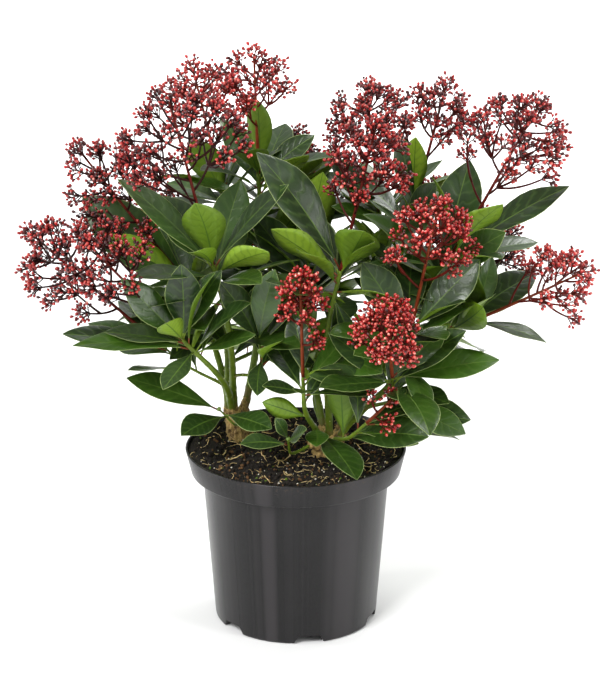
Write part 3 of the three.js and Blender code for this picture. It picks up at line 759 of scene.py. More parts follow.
def stalk_curve(shoot):
    along = aim(shoot["lean"], shoot["heading"])
    collar = stems[shoot["name"]].at(1) + along * GAP
    length = shoot["stack"] + max(shoot["head"] - HEAD["bunch"], HEAD["least"])
    lift = HEAD["lift"] * shoot["head"] * sin(radians(shoot["lean"]))
    return Curve(collar, collar + along * length / 2, collar + along * length + UP * lift)


def head_arms(shoot, index, stalk):
    """The end bunch and the side branches of a head."""
    yield {
        "at": 1 - HEAD["end"] / stalk.length(), "bearing": 0.0, "spread": 0.0,
        "length": HEAD["end"], "radius": HEAD["bunch"],
    }
    draw = seeded(SEEDS["head"] + index)
    for k in range(shoot["arms"]):
        rise = k / shoot["arms"]
        share = mix(HEAD["bare"], HEAD["highest"], rise)
        yield {
            "at": (shoot["stack"] + shoot["head"] * share) / (shoot["stack"] + shoot["head"]),
            "bearing": shoot["turn"] + HEAD["aside"] + GOLDEN * k
            + draw(-HEAD["bearing"], HEAD["bearing"]),
            "spread": HEAD["spread"] - HEAD["closing"] * rise
            + draw(-HEAD["open"], HEAD["open"]),
            "length": shoot["span"] * (1 - HEAD["shorter"] * rise),
            "radius": HEAD["bunch"] * (1 - HEAD["smaller"] * rise) * draw(*HEAD["size"]),
        }


def arm_way(arm, stalk, shift):
    """The direction of an arm after a small turn."""
    bearing, spread = arm["bearing"] + shift[0], arm["spread"] + shift[1]
    return opened(stalk.along(arm["at"]), radians(bearing), radians(spread))


stalks = {}
arms = []
for index, shoot in enumerate(SHOOTS):
    stalk = stalks[shoot["name"]] = stalk_curve(shoot)
    for arm in head_arms(shoot, index, stalk) if shoot["arms"] else ():
        root = stalk.at(arm["at"])
        for shift in ARM_SHIFTS:
            way = arm_way(arm, stalk, shift)
            if has_corner[shoot["name"]](root + way * (arm["length"] + arm["radius"])):
                arms.append({**arm, "root": root, "way": way, "shoot": shoot["name"]})
                break
print(len(arms), "bunches of buds")

# %% [markdown]
# ## Colours and node helpers
#
# A colour is written as it looks on a screen, from 0 to 255, and is turned into the linear
# numbers that Blender counts in.  Node trees are long to write out, so one small function makes
# a node, sets it up and wires it in a single call.

# %% Colours and nodes
def dye(red, green, blue):
    """A linear colour from the numbers of a screen colour."""
    shares = (channel / 255 for channel in (red, green, blue))
    return tuple(c / 12.92 if c <= 0.04045 else ((c + 0.055) / 1.055) ** 2.4 for c in shares)


def feed(tree, socket, value):
    """Wires another node's output into a socket, or sets a plain value on it."""
    if isinstance(value, bpy.types.NodeSocket):
        tree.links.new(value, socket)
    elif value is not None:
        socket.default_value = value


def put(tree, kind, *values, out=0, **settings):
    """Adds a node, fills its sockets in order and gives back one of its outputs."""
    made = tree.nodes.new(kind)
    for name, value in settings.items():
        setattr(made, name, value)
    for socket, value in zip(made.inputs, values):
        feed(tree, socket, value)
    return made.outputs[out]


def sum_up(tree, operation, *values):
    """One step of arithmetic, in a shader tree or a geometry tree."""
    return put(tree, "ShaderNodeMath", *values, operation=operation)


def node_group(name, kind, inputs, outputs):
    """An empty node group; gives back the group, what it is given and where its result goes."""
    group = bpy.data.node_groups.new(name, kind)
    for title, socket, value in inputs:
        made = group.interface.new_socket(
            title, in_out="INPUT", socket_type=f"NodeSocket{socket}")
        if value is not None:
            made.default_value = value
    for title, socket in outputs:
        group.interface.new_socket(title, in_out="OUTPUT", socket_type=f"NodeSocket{socket}")
    given, result = group.nodes.new("NodeGroupInput"), group.nodes.new("NodeGroupOutput")
    return group, given.outputs, result.inputs


def put_group(tree, group, **values):
    """Places a shader group in a material and feeds its inputs by their names."""
    made = tree.nodes.new("ShaderNodeGroup")
    made.node_tree = group
    for name, value in values.items():
        feed(tree, made.inputs[name.replace("_", " ")], value)
    return made.outputs


def lay_over(material, share, colour):
    """Lays another colour over a finish, as far as a share goes."""
    tree = material.node_tree
    base = tree.nodes["Principled BSDF"].inputs["Base Color"]
    mixed = put(tree, "ShaderNodeMixRGB", share, base.links[0].from_socket, (*colour, 1.0))
    tree.links.new(mixed, base)


print("leaf green in linear numbers:", [round(value, 4) for value in dye(44, 74, 40)])

# %% [markdown]
# ## Shader groups that the finishes share
#
# Two effects return in nearly every finish here.  Mottle lets a colour drift softly from place
# to place, as nothing that grows is one even colour.  Grain is a fine unevenness that breaks up
# the gloss.  Each is a group, built once, and every material sets its own numbers on it.

# %% Mottle and grain
BUMP_HEIGHT = 0.0004  # metres

mottle, given, result = node_group(
    "mottle", "ShaderNodeTree",
    [("Place", "Vector", None), ("Colour", "Color", None), ("Other Colour", "Color", None),
     ("Scale", "Float", 40.0), ("Amount", "Float", 0.5)],
    [("Colour", "Color"), ("Mask", "Float")],
)
cloud = put(mottle, "ShaderNodeTexNoise", given["Place"], None, given["Scale"], 3.0, 0.6)
mask = put(mottle, "ShaderNodeMapRange", cloud, 0.38, 0.66, 0.0, 1.0)
share = sum_up(mottle, "MULTIPLY", mask, given["Amount"])
mixed = put(mottle, "ShaderNodeMixRGB", share, given["Colour"], given["Other Colour"])
mottle.links.new(mixed, result["Colour"])
mottle.links.new(mask, result["Mask"])

grain, given, result = node_group(
    "grain", "ShaderNodeTree",
    [("Place", "Vector", None), ("Scale", "Float", 900.0), ("Depth", "Float", 0.05),
     ("Roughness", "Float", 0.4), ("Spread", "Float", 0.1)],
    [("Normal", "Vector"), ("Roughness", "Float")],
)
fine = put(grain, "ShaderNodeTexNoise", given["Place"], None, given["Scale"], 2.0, 0.5)
bump = put(grain, "ShaderNodeBump", given["Depth"], BUMP_HEIGHT)
grain.links.new(fine, bump.node.inputs["Height"])
grain.links.new(bump, result["Normal"])
drift = sum_up(grain, "MULTIPLY", sum_up(grain, "SUBTRACT", fine, 0.5), given["Spread"])
grain.links.new(sum_up(grain, "ADD", drift, given["Roughness"]), result["Roughness"])
print("groups:", mottle.name, "and", grain.name)


def grown(name, colour, other, scale=60.0, amount=0.6, roughness=0.5, grain_scale=900.0,
          depth=0.1, spread=0.15, specular=0.5, coat=(0.0, 0.03)):
    """A finish for something that grew: mottled colour and grained gloss."""
    material, shader = plain_material(name, colour, roughness)
    gloss = {"Specular IOR Level": specular, "Coat Weight": coat[0], "Coat Roughness": coat[1]}
    for title, value in gloss.items():
        shader.inputs[title].default_value = value
    tree = material.node_tree
    place = put(tree, "ShaderNodeTexCoord", out=3)
    tint = put_group(tree, mottle, Place=place, Colour=(*colour, 1.0),
                     Other_Colour=(*other, 1.0), Scale=scale, Amount=amount)
    tree.links.new(tint["Colour"], shader.inputs["Base Color"])
    skin = put_group(tree, grain, Place=place, Scale=grain_scale, Depth=depth,
                     Roughness=roughness, Spread=spread)
    for name in ("Normal", "Roughness"):
        tree.links.new(skin[name], shader.inputs[name])
    return material


# %% [markdown]
# ## A skin to collect faces in
#
# Hundreds of leaves and twigs end up in a few meshes.  A Skin gathers their points and faces
# with a finish for each face, and becomes one mesh at the end, so that Blender isn't asked to
# join thousands of objects.

# %% Skin
class Skin:
    """Points and faces of many small closed shapes, in millimetres."""

    def __init__(self):
        self.points, self.faces, self.finishes, self.uvs = [], [], [], []
        self.count = 0

    def add(self, points, faces, finishes, uvs=None):
        self.points.append(np.asarray(points, float))
        self.faces += [tuple(corner + self.count for corner in face) for face in faces]
        self.finishes += finishes if isinstance(finishes, list) else [finishes] * len(faces)
        if uvs is not None:
            self.uvs.append(np.asarray(uvs, float))
        self.count += len(points)

    def tube(self, path, radii, sides, finish=0, laid=None):
        """A tube along a path, closed at both ends; a radius may differ from side to side."""
        path = np.asarray(path, float)
        radii = np.broadcast_to(np.reshape(radii, (len(path), -1)), (len(path), sides))
        ways = np.gradient(path, axis=0)
        normal = across(unit(ways[0]))[0]
        angles = np.arange(sides) * 2 * pi / sides
        rings = []
        for centre, way, radius in zip(path, ways, radii):
            way = unit(way)
            normal = unit(normal - way * np.dot(normal, way))
            other = np.cross(way, normal)
            rings.append(centre + np.outer(np.cos(angles) * radius, normal)
                         + np.outer(np.sin(angles) * radius, other))
        if laid is not None:
            laid = np.column_stack((np.tile(angles / (2 * pi), len(path)),
                                    np.repeat(laid, sides)))
        faces = [tuple(reversed(range(sides)))]
        for i in range(len(path) - 1):
            for k in range(sides):
                low, next_low = i * sides + k, i * sides + (k + 1) % sides
                faces.append((low, next_low, next_low + sides, low + sides))
        faces.append(tuple(range((len(path) - 1) * sides, len(path) * sides)))
        self.add(np.concatenate(rings), faces, finish, laid)

    def mesh(self, name, materials):
        made = bpy.data.meshes.new(name)
        made.from_pydata((np.concatenate(self.points) * MM).tolist(), [], self.faces)
        for material in materials:
            made.materials.append(material)
        made.polygons.foreach_set("material_index", self.finishes)
        made.polygons.foreach_set("use_smooth", [True] * len(self.faces))
        if self.uvs:
            uvs = np.concatenate(self.uvs)
            corners = np.zeros(len(made.loops), int)
            made.loops.foreach_get("vertex_index", corners)
            layer = made.uv_layers.new(name="laid")
            layer.uv.foreach_set("vector", uvs[corners].ravel())
        made.update()
        return made


sample = Skin()
sample.tube([(0, 0, 0), (0, 0, 10)], [2.0, 1.0], 6)
print("a six-sided tube:", sample.count, "points and", len(sample.faces), "faces")


def piece(mesh, slot, *replaced):
    """A finished piece: it rides with the plant and stands for some solids; its slot is not used."""
    made = new_object(mesh.name, mesh)
    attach(made, "root")
    if replaced:
        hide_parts(*replaced)
    triangles = sum(len(face.vertices) - 2 for face in mesh.polygons)
    print(f"{made.name}: {triangles} triangles")
    return made


# %% [markdown]
# ## The finish of a leaf
#
# A skimmia leaf is dark and glossy above, with a paler midrib and a thin pale edge, and
# yellow-green and dull beneath.  The pale edge is partly the leaf's own and partly a painted
# highlight along the rim.  Side veins show faintly.  They follow the blade, so they are drawn in
# the leaf's own coordinates: across it and along it.  One group makes the vein lines for the upper
# and the lower skin.

# %% Vein lines
VEIN_PAIRS = 9.0
VEIN_DEPTH = 0.35

veins, given, result = node_group(
    "veins", "ShaderNodeTree",
    [("Blade", "Vector", None), ("Pairs", "Float", VEIN_PAIRS),
     ("Slant", "Float", 2.2), ("Width", "Float", 0.22)],
    [("Mask", "Float")],
)
split = put(veins, "ShaderNodeSeparateXYZ", given["Blade"]).node
aside = sum_up(veins, "ABSOLUTE", sum_up(veins, "SUBTRACT", split.outputs["X"], 0.5))
wavy = put(veins, "ShaderNodeTexNoise", given["Blade"], None, 6.0, 1.0)
rows = sum_up(veins, "MULTIPLY", split.outputs["Y"], given["Pairs"])
rows = sum_up(veins, "ADD", rows, wavy)
rows = sum_up(veins, "SUBTRACT", rows, sum_up(veins, "MULTIPLY", aside, given["Slant"]))
wave = sum_up(veins, "ABSOLUTE", sum_up(veins, "SUBTRACT", sum_up(veins, "FRACT", rows), 0.5))
line = put(veins, "ShaderNodeMapRange", wave, given["Width"], 0.0, 0.0, 1.0)
veins.links.new(line, result["Mask"])
print("veins:", VEIN_PAIRS, "pairs on a leaf")


def blade_finish(name, colour, other, vein, vein_amount, roughness, coat=0.0):
    """One side of a leaf: mottled green with faint veins that are pressed into it."""
    material = grown(name, colour, other, scale=45.0, amount=0.7, roughness=roughness,
                     grain_scale=1400.0, depth=0.12, spread=0.25, coat=(coat, 0.3))
    tree = material.node_tree
    shader = tree.nodes["Principled BSDF"]
    blade = put(tree, "ShaderNodeUVMap", uv_map="laid")
    drawn = put_group(tree, veins, Blade=blade)["Mask"]
    lay_over(material, sum_up(tree, "MULTIPLY", drawn, vein_amount), vein)
    grained = shader.inputs["Normal"].links[0].from_socket
    pressed = put(tree, "ShaderNodeBump", VEIN_DEPTH, BUMP_HEIGHT)
    pressed.node.invert = True
    tree.links.new(drawn, pressed.node.inputs["Height"])
    tree.links.new(grained, pressed.node.inputs["Normal"])
    tree.links.new(pressed, shader.inputs["Normal"])
    return material


UPPER_GREENS = (
    (dye(31, 55, 14), dye(44, 72, 20)),
    (dye(26, 46, 14), dye(37, 62, 19)),
    (dye(38, 64, 15), dye(54, 84, 22)),
    (dye(36, 56, 26), dye(60, 80, 42)),
    (dye(46, 76, 17), dye(62, 96, 25)),
)
UNDER_GREENS = (
    (dye(112, 146, 24), dye(124, 156, 34)),
    (dye(120, 150, 32), dye(132, 162, 44)),
    (dye(94, 124, 24), dye(106, 136, 30)),
)
UPPER_COUNT, UNDER_COUNT = len(UPPER_GREENS), len(UNDER_GREENS)
leaf_finishes = [
    blade_finish(f"leaf_upper_{k}", *pair, dye(80, 106, 46), 0.3, 0.33, coat=0.2)
    for k, pair in enumerate(UPPER_GREENS)
] + [
    blade_finish(f"leaf_under_{k}", *pair, dye(78, 112, 20), 0.4, 0.5)
    for k, pair in enumerate(UNDER_GREENS)
] + [
    # The pale edge is partly the leaf's own and partly a painted highlight along the rim.
    grown("leaf_margin_and_rim_highlight", dye(150, 166, 100), dye(106, 130, 60), roughness=0.45),
    grown("rib_upper", dye(86, 112, 44), dye(60, 88, 32), roughness=0.45),
    grown("rib_under", dye(66, 100, 18), dye(84, 116, 26), roughness=0.6),
    grown("petiole_green", dye(132, 156, 50), dye(112, 134, 42), roughness=0.5),
    grown("petiole_red", dye(126, 56, 32), dye(142, 90, 40), roughness=0.5),
]
SPECIAL = ("margin", "rib_upper", "rib_under", "petiole_green", "petiole_red")
FINISH = {name: UPPER_COUNT + UNDER_COUNT + k for k, name in enumerate(SPECIAL)}
print(len(leaf_finishes), "leaf finishes")

# %% [markdown]
# ## Modelling a leaf
#
# The blade is a grid of points: rows along the midrib and columns across it.  It is folded
# along the midrib like an open book, its edge waves a little, and it twists slowly towards the
# tip.  The upper and the lower skin share the edge, so the leaf is closed.  Narrow columns
# beside the midrib and at the edge carry the pale lines as real strips.

# %% Leaf shape
BLADE = {
    "rows": 11, "first": 0.07, "last": 0.965, "closing": 1.35, "thickness": 0.6, "margin": 0.46,
    "rib": (0.8, 0.28), "rib_depth": (0.7, 0.15), "groove": 0.25, "column": 0.52,
    "blunt": 0.9, "stalk": 0.8,
}
FORM = {  # between which bounds a leaf's folds and bends lie; degrees, or shares of its size
    "fold": (6, 18), "wave": (0.02, 0.08), "beat": (1.0, 2.0), "phase": (0, 2 * pi),
    "twist": (-16, 16), "sway": (-0.035, 0.035),
}
TOP_STRIPS = ("margin", "blade", "blade", "rib", "blade", "blade", "margin")
UNDER_STRIPS = ("blade", "blade", "rib", "blade", "blade")
ROW = 12  # points in a row: eight on top, edges included, and four more beneath
TOP_ROW = (0, 1, 2, 3, 4, 5, 6, 7)
UNDER_ROW = (0, 8, 9, 10, 11, 7)


def half_width(leaf, shares):
    """Half the width of a blade at shares of its length."""
    blade = np.clip((shares - LEAF["petiole"]) / (1 - LEAF["petiole"]), 0.0, 1.0)
    fullness = mix(LEAF["fullness"], BLADE["blunt"], blade)
    rounded = np.sin(np.pi * blade ** LEAF["widest"]) ** fullness
    stalk = LEAF["petiole_width"] / 2 * (1 - blade)
    return np.hypot(leaf["length"] / leaf["slender"] / 2 * rounded, stalk * BLADE["stalk"])


def leaf_rows():
    """Shares of the length where a leaf's rows lie: closer together towards the tip."""
    steps = np.linspace(BLADE["first"], BLADE["last"], BLADE["rows"])
    blade = LEAF["petiole"] + (1 - LEAF["petiole"]) * (1 - (1 - steps) ** BLADE["closing"])
    return np.concatenate(([0.0, LEAF["petiole"]], blade))


SHARES = leaf_rows()


def leaf_row(leaf, share, wide, form):
    """The points of one row across a leaf, and their places on the blade."""
    base, ahead, face = leaf["seat"]
    side = np.cross(face, ahead)
    arch, length = leaf["arch"], leaf["length"]
    angle = arch * share
    centre = (base + ahead * length * sin(angle) / arch
              - face * length * (1 - cos(angle)) / arch
              + side * length * form["sway"] * sin(pi * share))
    up = face * cos(angle) + ahead * sin(angle)
    turn = form["twist"] * share ** 2
    right = side * cos(turn) + up * sin(turn)
    above = up * cos(turn) - side * sin(turn)
    rib = min(mix(*BLADE["rib"], share), wide * 0.5) / wide
    hem = 1 - min(BLADE["margin"], wide * 0.3) / wide
    column = BLADE["column"] * hem
    under = (-column, -rib, rib, column)
    places = np.array((-1.0, -hem, *under, hem, 1.0, *under))
    lift = np.abs(places) * wide * form["fold"] * (1 - 0.4 * np.abs(places))
    lift += form["wave"] * wide * places ** 2 * np.sin(
        2 * pi * form["beat"] * share + form["phase"] + np.sign(places) * 1.3)
    thick = BLADE["thickness"] * (1 - 0.4 * share) * (1 - 0.5 * np.abs(places))
    lift[1:7] += thick[1:7] / 2
    lift[8:] -= thick[8:] / 2
    lift[9:11] -= mix(*BLADE["rib_depth"], share)  # the midrib stands out beneath
    lift[3:5] -= min(BLADE["groove"], 0.2 * wide)  # and lies in a groove above
    points = centre + np.outer(places * wide, right) + np.outer(lift, above)
    return points, np.column_stack(((places + 1) / 2, np.full(ROW, share)))


print("a leaf has", len(SHARES), "rows of", ROW, "points")

# %% [markdown]
# ## Skinning a leaf
#
# Chance gives each leaf its own fold, wave and twist, and picks its greens.  The strips between
# the rows then get their finish by the column that they lie in, and the petiole gets one of its
# own.  The last row closes in the tip.

# %% Leaves
def add_leaf(skin, leaf, draw):
    """Adds one leaf to a skin."""
    form = {name: draw(*bounds) for name, bounds in FORM.items()}
    form["fold"] = tan(radians(form["fold"]))
    form["twist"] = radians(form["twist"])
    upper = int(draw(0, UPPER_COUNT - 0.001))
    under = UPPER_COUNT + int(draw(0, UNDER_COUNT - 0.001))
    petiole = FINISH["petiole_red"] if draw(0, 1) < 0.5 else FINISH["petiole_green"]
    rows = [leaf_row(leaf, share, wide, form)
            for share, wide in zip(SHARES, half_width(leaf, SHARES))]
    points = np.concatenate([row[0] for row in rows] + [midrib(leaf, leaf["seat"], 1.0)[None]])
    uvs = np.concatenate([row[1] for row in rows] + [[(0.5, 1.0)]])
    top_finish = {"margin": FINISH["margin"], "blade": upper, "rib": FINISH["rib_upper"]}
    under_finish = {"blade": under, "rib": FINISH["rib_under"]}
    tip = ROW * len(SHARES)
    faces, finishes = [], []
    for i in range(len(SHARES)):
        for row, strips, finish, on_top in ((TOP_ROW, TOP_STRIPS, top_finish, True),
                                            (UNDER_ROW, UNDER_STRIPS, under_finish, False)):
            for k, strip in enumerate(strips):
                a, b = ROW * i + row[k], ROW * i + row[k + 1]
                corners = (a, b, *((b + ROW, a + ROW) if i < len(SHARES) - 1 else (tip,)))
                faces.append(corners[::-1] if on_top else corners[1:] + corners[:1])
                finishes.append(petiole if i < 1 else finish[strip])
    faces.append(TOP_ROW + UNDER_ROW[-2:0:-1])
    finishes.append(petiole)
    skin.add(points, faces, finishes, uvs)


leaf_skin = Skin()
for number, leaf in enumerate(leaves):
    add_leaf(leaf_skin, leaf, seeded(SEEDS["blade"] + number))
piece(leaf_skin.mesh("leaves", leaf_finishes), "foliage", *MASSES)

# %% [markdown]
# ## One tree of nodes for everything that is a small ovoid
#
# Flower buds, leaf scars and the buds on the stems' ends are all small round things that sit at
# known places.  Modelling each by hand would never end.  Geometry Nodes take a cloud of sites, where
# every site says which way it faces, how large it is and which finish it has, and put one
# shaped ovoid on each.  The copies are realized at the end, so that they are a real mesh.

# %% Ovoids on sites
ovoids, given, result = node_group(
    "ovoids_on_sites", "GeometryNodeTree",
    [("Sites", "Geometry", None), ("Sides", "Int", 7), ("Rings", "Int", 5),
     ("Width", "Float", 0.0036), ("Length", "Float", 0.0042), ("Taper", "Float", 0.25),
     ("Neck", "Float", 1.0), *[(f"Finish {k}", "Material", None) for k in range(4)]],
    [("Ovoids", "Geometry")],
)
ovoids.is_modifier = True
ball = put(ovoids, "GeometryNodeMeshUVSphere", given["Sides"], given["Rings"], 0.5)
place = put(ovoids, "GeometryNodeInputPosition")
height = put(ovoids, "ShaderNodeSeparateXYZ", place).node.outputs["Z"]
tip = sum_up(ovoids, "ADD", height, 0.5)
ball = put(ovoids, "GeometryNodeStoreNamedAttribute", ball, None, "tip", tip)
narrowing = sum_up(ovoids, "MULTIPLY", given["Taper"], tip)
width = sum_up(ovoids, "MULTIPLY", given["Width"], sum_up(ovoids, "SUBTRACT", 1.0, narrowing))
width = sum_up(ovoids, "MULTIPLY", width,
               put(ovoids, "ShaderNodeMapRange", tip, 0.0, 0.55, given["Neck"], 1.0))
flat = put(ovoids, "ShaderNodeVectorMath", place,
           put(ovoids, "ShaderNodeCombineXYZ", width, width, 0.0), operation="MULTIPLY")
rise = sum_up(ovoids, "MULTIPLY", tip, given["Length"])
rise = put(ovoids, "ShaderNodeCombineXYZ", 0.0, 0.0, rise)
shaped = put(ovoids, "ShaderNodeVectorMath", flat, rise, operation="ADD")
ball = put(ovoids, "GeometryNodeSetPosition", ball, None, shaped)
facing = put(ovoids, "GeometryNodeInputNamedAttribute", "facing", data_type="FLOAT_VECTOR")
turned = put(ovoids, "FunctionNodeAlignRotationToVector", None, 1.0, facing, axis="Z")
size = put(ovoids, "GeometryNodeInputNamedAttribute", "size", data_type="FLOAT")
copies = put(ovoids, "GeometryNodeInstanceOnPoints", given["Sites"], None, ball,
             None, None, turned, size)
made = put(ovoids, "GeometryNodeRealizeInstances", copies)
tint = put(ovoids, "GeometryNodeInputNamedAttribute", "tint", data_type="FLOAT")
for k in range(4):
    chosen = sum_up(ovoids, "COMPARE", tint, float(k), 0.1)
    made = put(ovoids, "GeometryNodeSetMaterial", made, chosen, given[f"Finish {k}"])
ovoids.links.new(made, result["Ovoids"])


def made_plain(holder):
    """The mesh that an object's modifiers make of it, as a plain smooth mesh."""
    graph = bpy.context.evaluated_depsgraph_get()
    made = bpy.data.meshes.new_from_object(
        holder.evaluated_get(graph), preserve_all_data_layers=True, depsgraph=graph)
    made.polygons.foreach_set("use_smooth", [True] * len(made.polygons))
    return made


def run_tree(name, tree, holder_mesh, inputs):
    """Runs a geometry tree on a mesh and turns what it grows into a plain mesh."""
    holder = bpy.data.objects.new(name, holder_mesh)
    modifier = holder.modifiers.new(tree.name, "NODES")
    modifier.node_group = tree
    for item in tree.interface.items_tree:
        if item.in_out == "INPUT" and item.name in inputs:
            modifier[item.identifier] = inputs[item.name]
    scene.collection.objects.link(holder)
    made = made_plain(holder)
    holder.modifiers.remove(modifier)
    bpy.data.objects.remove(holder)
    made.name = name
    return made


def ovoids_at(name, sites, finishes, **shape):
    """Ovoids on sites, where a site is a place, a direction, a size and a finish's number."""
    cloud = bpy.data.meshes.new(name + "_sites")
    cloud.from_pydata((np.array([site[0] for site in sites]) * MM).tolist(), [], [])
    facing = cloud.attributes.new("facing", "FLOAT_VECTOR", "POINT")
    facing.data.foreach_set("vector", np.array([site[1] for site in sites]).ravel())
    for title, column in (("size", 2), ("tint", 3)):
        layer = cloud.attributes.new(title, "FLOAT", "POINT")
        layer.data.foreach_set("value", [float(site[column]) for site in sites])
    inputs = {f"Finish {k}": finish for k, finish in enumerate(finishes)}
    return run_tree(name, ovoids, cloud, {**inputs, **shape})


print("tree", ovoids.name, "with", len(ovoids.nodes), "nodes")

# %% [markdown]
# ## Stems
#
# A skimmia's young stems are green and carry pale scars where older leaves sat.  Each scar lies
# on a slight swelling, so a stem is a string of short joints.  Towards the foot the skin turns
# tan and rough.  A stem here is one tube that follows its middle line, goes on through the
# whorl, and swells at each joint.  Its second coordinate runs from foot to tip, and the finish
# uses that to go from tan to green.

# %% Stems
STEM_RADII = {"foot": 3.4, "fork": 2.7, "tip": 2.1, "neck": 1.6, "end": 0.9}
STEM_TUBE = {"sides": 10, "step": 2.5, "least": 6, "least_leafy": 4}
FULL_GROWN = 85.0  # millimetres; a shorter shoot is younger and thinner
JOINT = {"first": 4.0, "apart": 13.0, "length": 1.6, "swelling": 0.13}
RIDGES = {"count": 3, "height": 0.05, "twist": 9.0}
SCAR = {"turn": 40.0, "sunk": 0.99, "size": (0.7, 1.1)}
STEM_BUD, HEAD_BUD = (1.0, 3.4), (1.5, 2.2)  # how deep the bud on a stem's end sits, its size


def stem_finish():
    """Green skin that turns to tan bark near the foot."""
    material = grown("stem_green", dye(84, 106, 20), dye(114, 134, 36), scale=160.0,
                     grain_scale=1500.0, depth=0.25, specular=0.3)
    tree = material.node_tree
    laid = put(tree, "ShaderNodeUVMap", uv_map="laid")
    share = put(tree, "ShaderNodeSeparateXYZ", laid).node.outputs["Y"]
    place = put(tree, "ShaderNodeTexCoord", out=3)
    cloud = put(tree, "ShaderNodeTexNoise", place, None, 220.0, 3.0)
    ragged = sum_up(tree, "ADD", share, sum_up(tree, "MULTIPLY", cloud, 0.35))
    old = put(tree, "ShaderNodeMapRange", ragged, 0.34, 0.18, 0.0, 1.0)
    lay_over(material, old, dye(116, 92, 58))
    return material


def add_stem(skin, scars, number, shoot):
    """A stem through its whorl, with its joints, its scars and the bud on its end."""
    stem, stalk = stems[shoot["name"]], stalks[shoot["name"]]
    whorl_share = shoot["stack"] / stalk.length()
    steps = max(int(stem.length() / STEM_TUBE["step"]), STEM_TUBE["least"])
    leafy_steps = max(int(shoot["stack"] / STEM_TUBE["step"]), STEM_TUBE["least_leafy"])
    path = stem.walk(steps) + stalk.walk(leafy_steps, 0, whorl_share)
    foot = STEM_RADII["foot" if shoot["on"] in CLUMPS else "fork"]
    young = min(stem.length() / FULL_GROWN, 1.0)
    radii = young * np.concatenate((
        np.linspace(foot, STEM_RADII["tip"], steps),
        np.linspace(STEM_RADII["tip"], STEM_RADII["neck"], leafy_steps)))
    walked = np.concatenate(([0.0], np.cumsum(np.linalg.norm(np.diff(path, axis=0), axis=1))))
    draw = seeded(SEEDS["joints"] + number)
    joints = np.arange(draw(JOINT["first"], JOINT["apart"]), walked[-1], JOINT["apart"])
    bulges = np.exp(-((walked[:, None] - joints[None]) / JOINT["length"]) ** 2).sum(axis=1)
    angles = np.arange(STEM_TUBE["sides"]) * 2 * pi / STEM_TUBE["sides"]
    ridges = 1 + RIDGES["height"] * np.sin(
        RIDGES["count"] * angles[None] + walked[:, None] / RIDGES["twist"] + number)
    rings = (radii * (1 + JOINT["swelling"] * bulges))[:, None] * ridges
    skin.tube(path, rings, STEM_TUBE["sides"], 0, laid=walked / walked[-1])
    for k, joint in enumerate(joints[joints < stem.length()]):
        share = joint / stem.length()
        out = sideways(stem.along(share), radians(GOLDEN * k + draw(0, SCAR["turn"])))
        radius = mix(foot, STEM_RADII["tip"], share) * young
        scars.append((stem.at(share) + out * radius * SCAR["sunk"], out, draw(*SCAR["size"]), 0))
    depth, size = HEAD_BUD if shoot["arms"] else STEM_BUD
    onward = stalk.along(whorl_share)
    scars.append((stalk.at(whorl_share) - onward * depth, onward, size, 1))


scar_sites = []
stem_skin = Skin()
for number, shoot in enumerate(SHOOTS):
    add_stem(stem_skin, scar_sites, number, shoot)

BOUGHS = [f"bough_{shoot['name']}" for shoot in SHOOTS]
stem_green = stem_finish()
piece(stem_skin.mesh("stems", [stem_green]), "green_stem", *BOUGHS)
scar_pale = grown("leaf_scar", dye(176, 180, 112), dye(140, 138, 80), roughness=0.6)
bud_green = grown("leaf_bud", dye(124, 150, 62), dye(96, 124, 50), roughness=0.45)
piece(ovoids_at("leaf_scars", scar_sites, [scar_pale, bud_green], Width=0.0016,
                Length=0.0009, Taper=0.4), "green_stem", *BOUGHS)

# %% [markdown]
# ## Clumps
#
# At the soil each clump is a knobbly woody foot with the stems' swollen bases grown into it.
# It is built from overlapping tubes, melted into one skin by the Remesh modifier, and then
# pushed in and out by noise that is stretched upright, which gives fibrous bark.

# %% Clumps
CLUMP_SHAPE = {
    "left": {"foot": (-48.0, 33.0), "radii": (10.5, 7.6, 8.6), "height": 24.0},
    "right": {"foot": (25.0, -3.0), "radii": (13.5, 11.0, 10.5), "height": 11.0},
}
CLUMP_SIDES, CLUMP_STEPS = 20, 9
ROOT = {
    "spread": 0.8, "places": (0, 4, 8, 12, 16), "sides": 12,
    "radii": (5.4, 4.9, 4.8, 4.6, 4.3, 3.9, 3.2),
}
MELT = {"faces": 0.9, "smoothing": 5}  # the size of the remeshed faces is in millimetres
BARK = {"fibre_scale": (0.6, 0.14), "fibres": 1.5, "knob_scale": 0.24, "knobs": 2.4}


def melted(name, skin):
    """One closed skin over overlapping tubes."""
    holder = new_object(name, skin.mesh(name, []))
    remesh = holder.modifiers.new("melt", "REMESH")
    remesh.mode = "VOXEL"
    remesh.voxel_size = MELT["faces"] * MM
    smooth = holder.modifiers.new("soften", "SMOOTH")
    smooth.iterations = MELT["smoothing"]
    made = made_plain(holder)
    bpy.data.meshes.remove(holder.data)
    made.name = name
    return made


def add_relief(mesh, push):
    """Moves every point along its normal by push(place in millimetres)."""
    normals = [vertex.normal.copy() for vertex in mesh.vertices]
    for vertex, normal in zip(mesh.vertices, normals):
        vertex.co += normal * push(vertex.co / MM) * MM


def bark_push(place):
    """How far the bark stands out at a place: fibres drawn upright, and round knobs."""
    level, upright = BARK["fibre_scale"]
    fibres = noise.noise((place.x * level, place.y * level, place.z * upright))
    knobs = noise.noise(place * BARK["knob_scale"])
    return BARK["fibres"] * fibres + BARK["knobs"] * knobs


def add_root(skin, shoot, ground, crown, reach):
    """The swollen base of a stem, from the soil to a little way up the stem."""
    stem = stems[shoot["name"]]
    base = stem.at(0)
    root = ground + unit((base - crown) * (1, 1, 0)) * reach * ROOT["spread"]
    path = [root, (root + base) / 2]
    path += [stem.at(place / stem.length()) for place in ROOT["places"]]
    skin.tube(path, ROOT["radii"], ROOT["sides"])


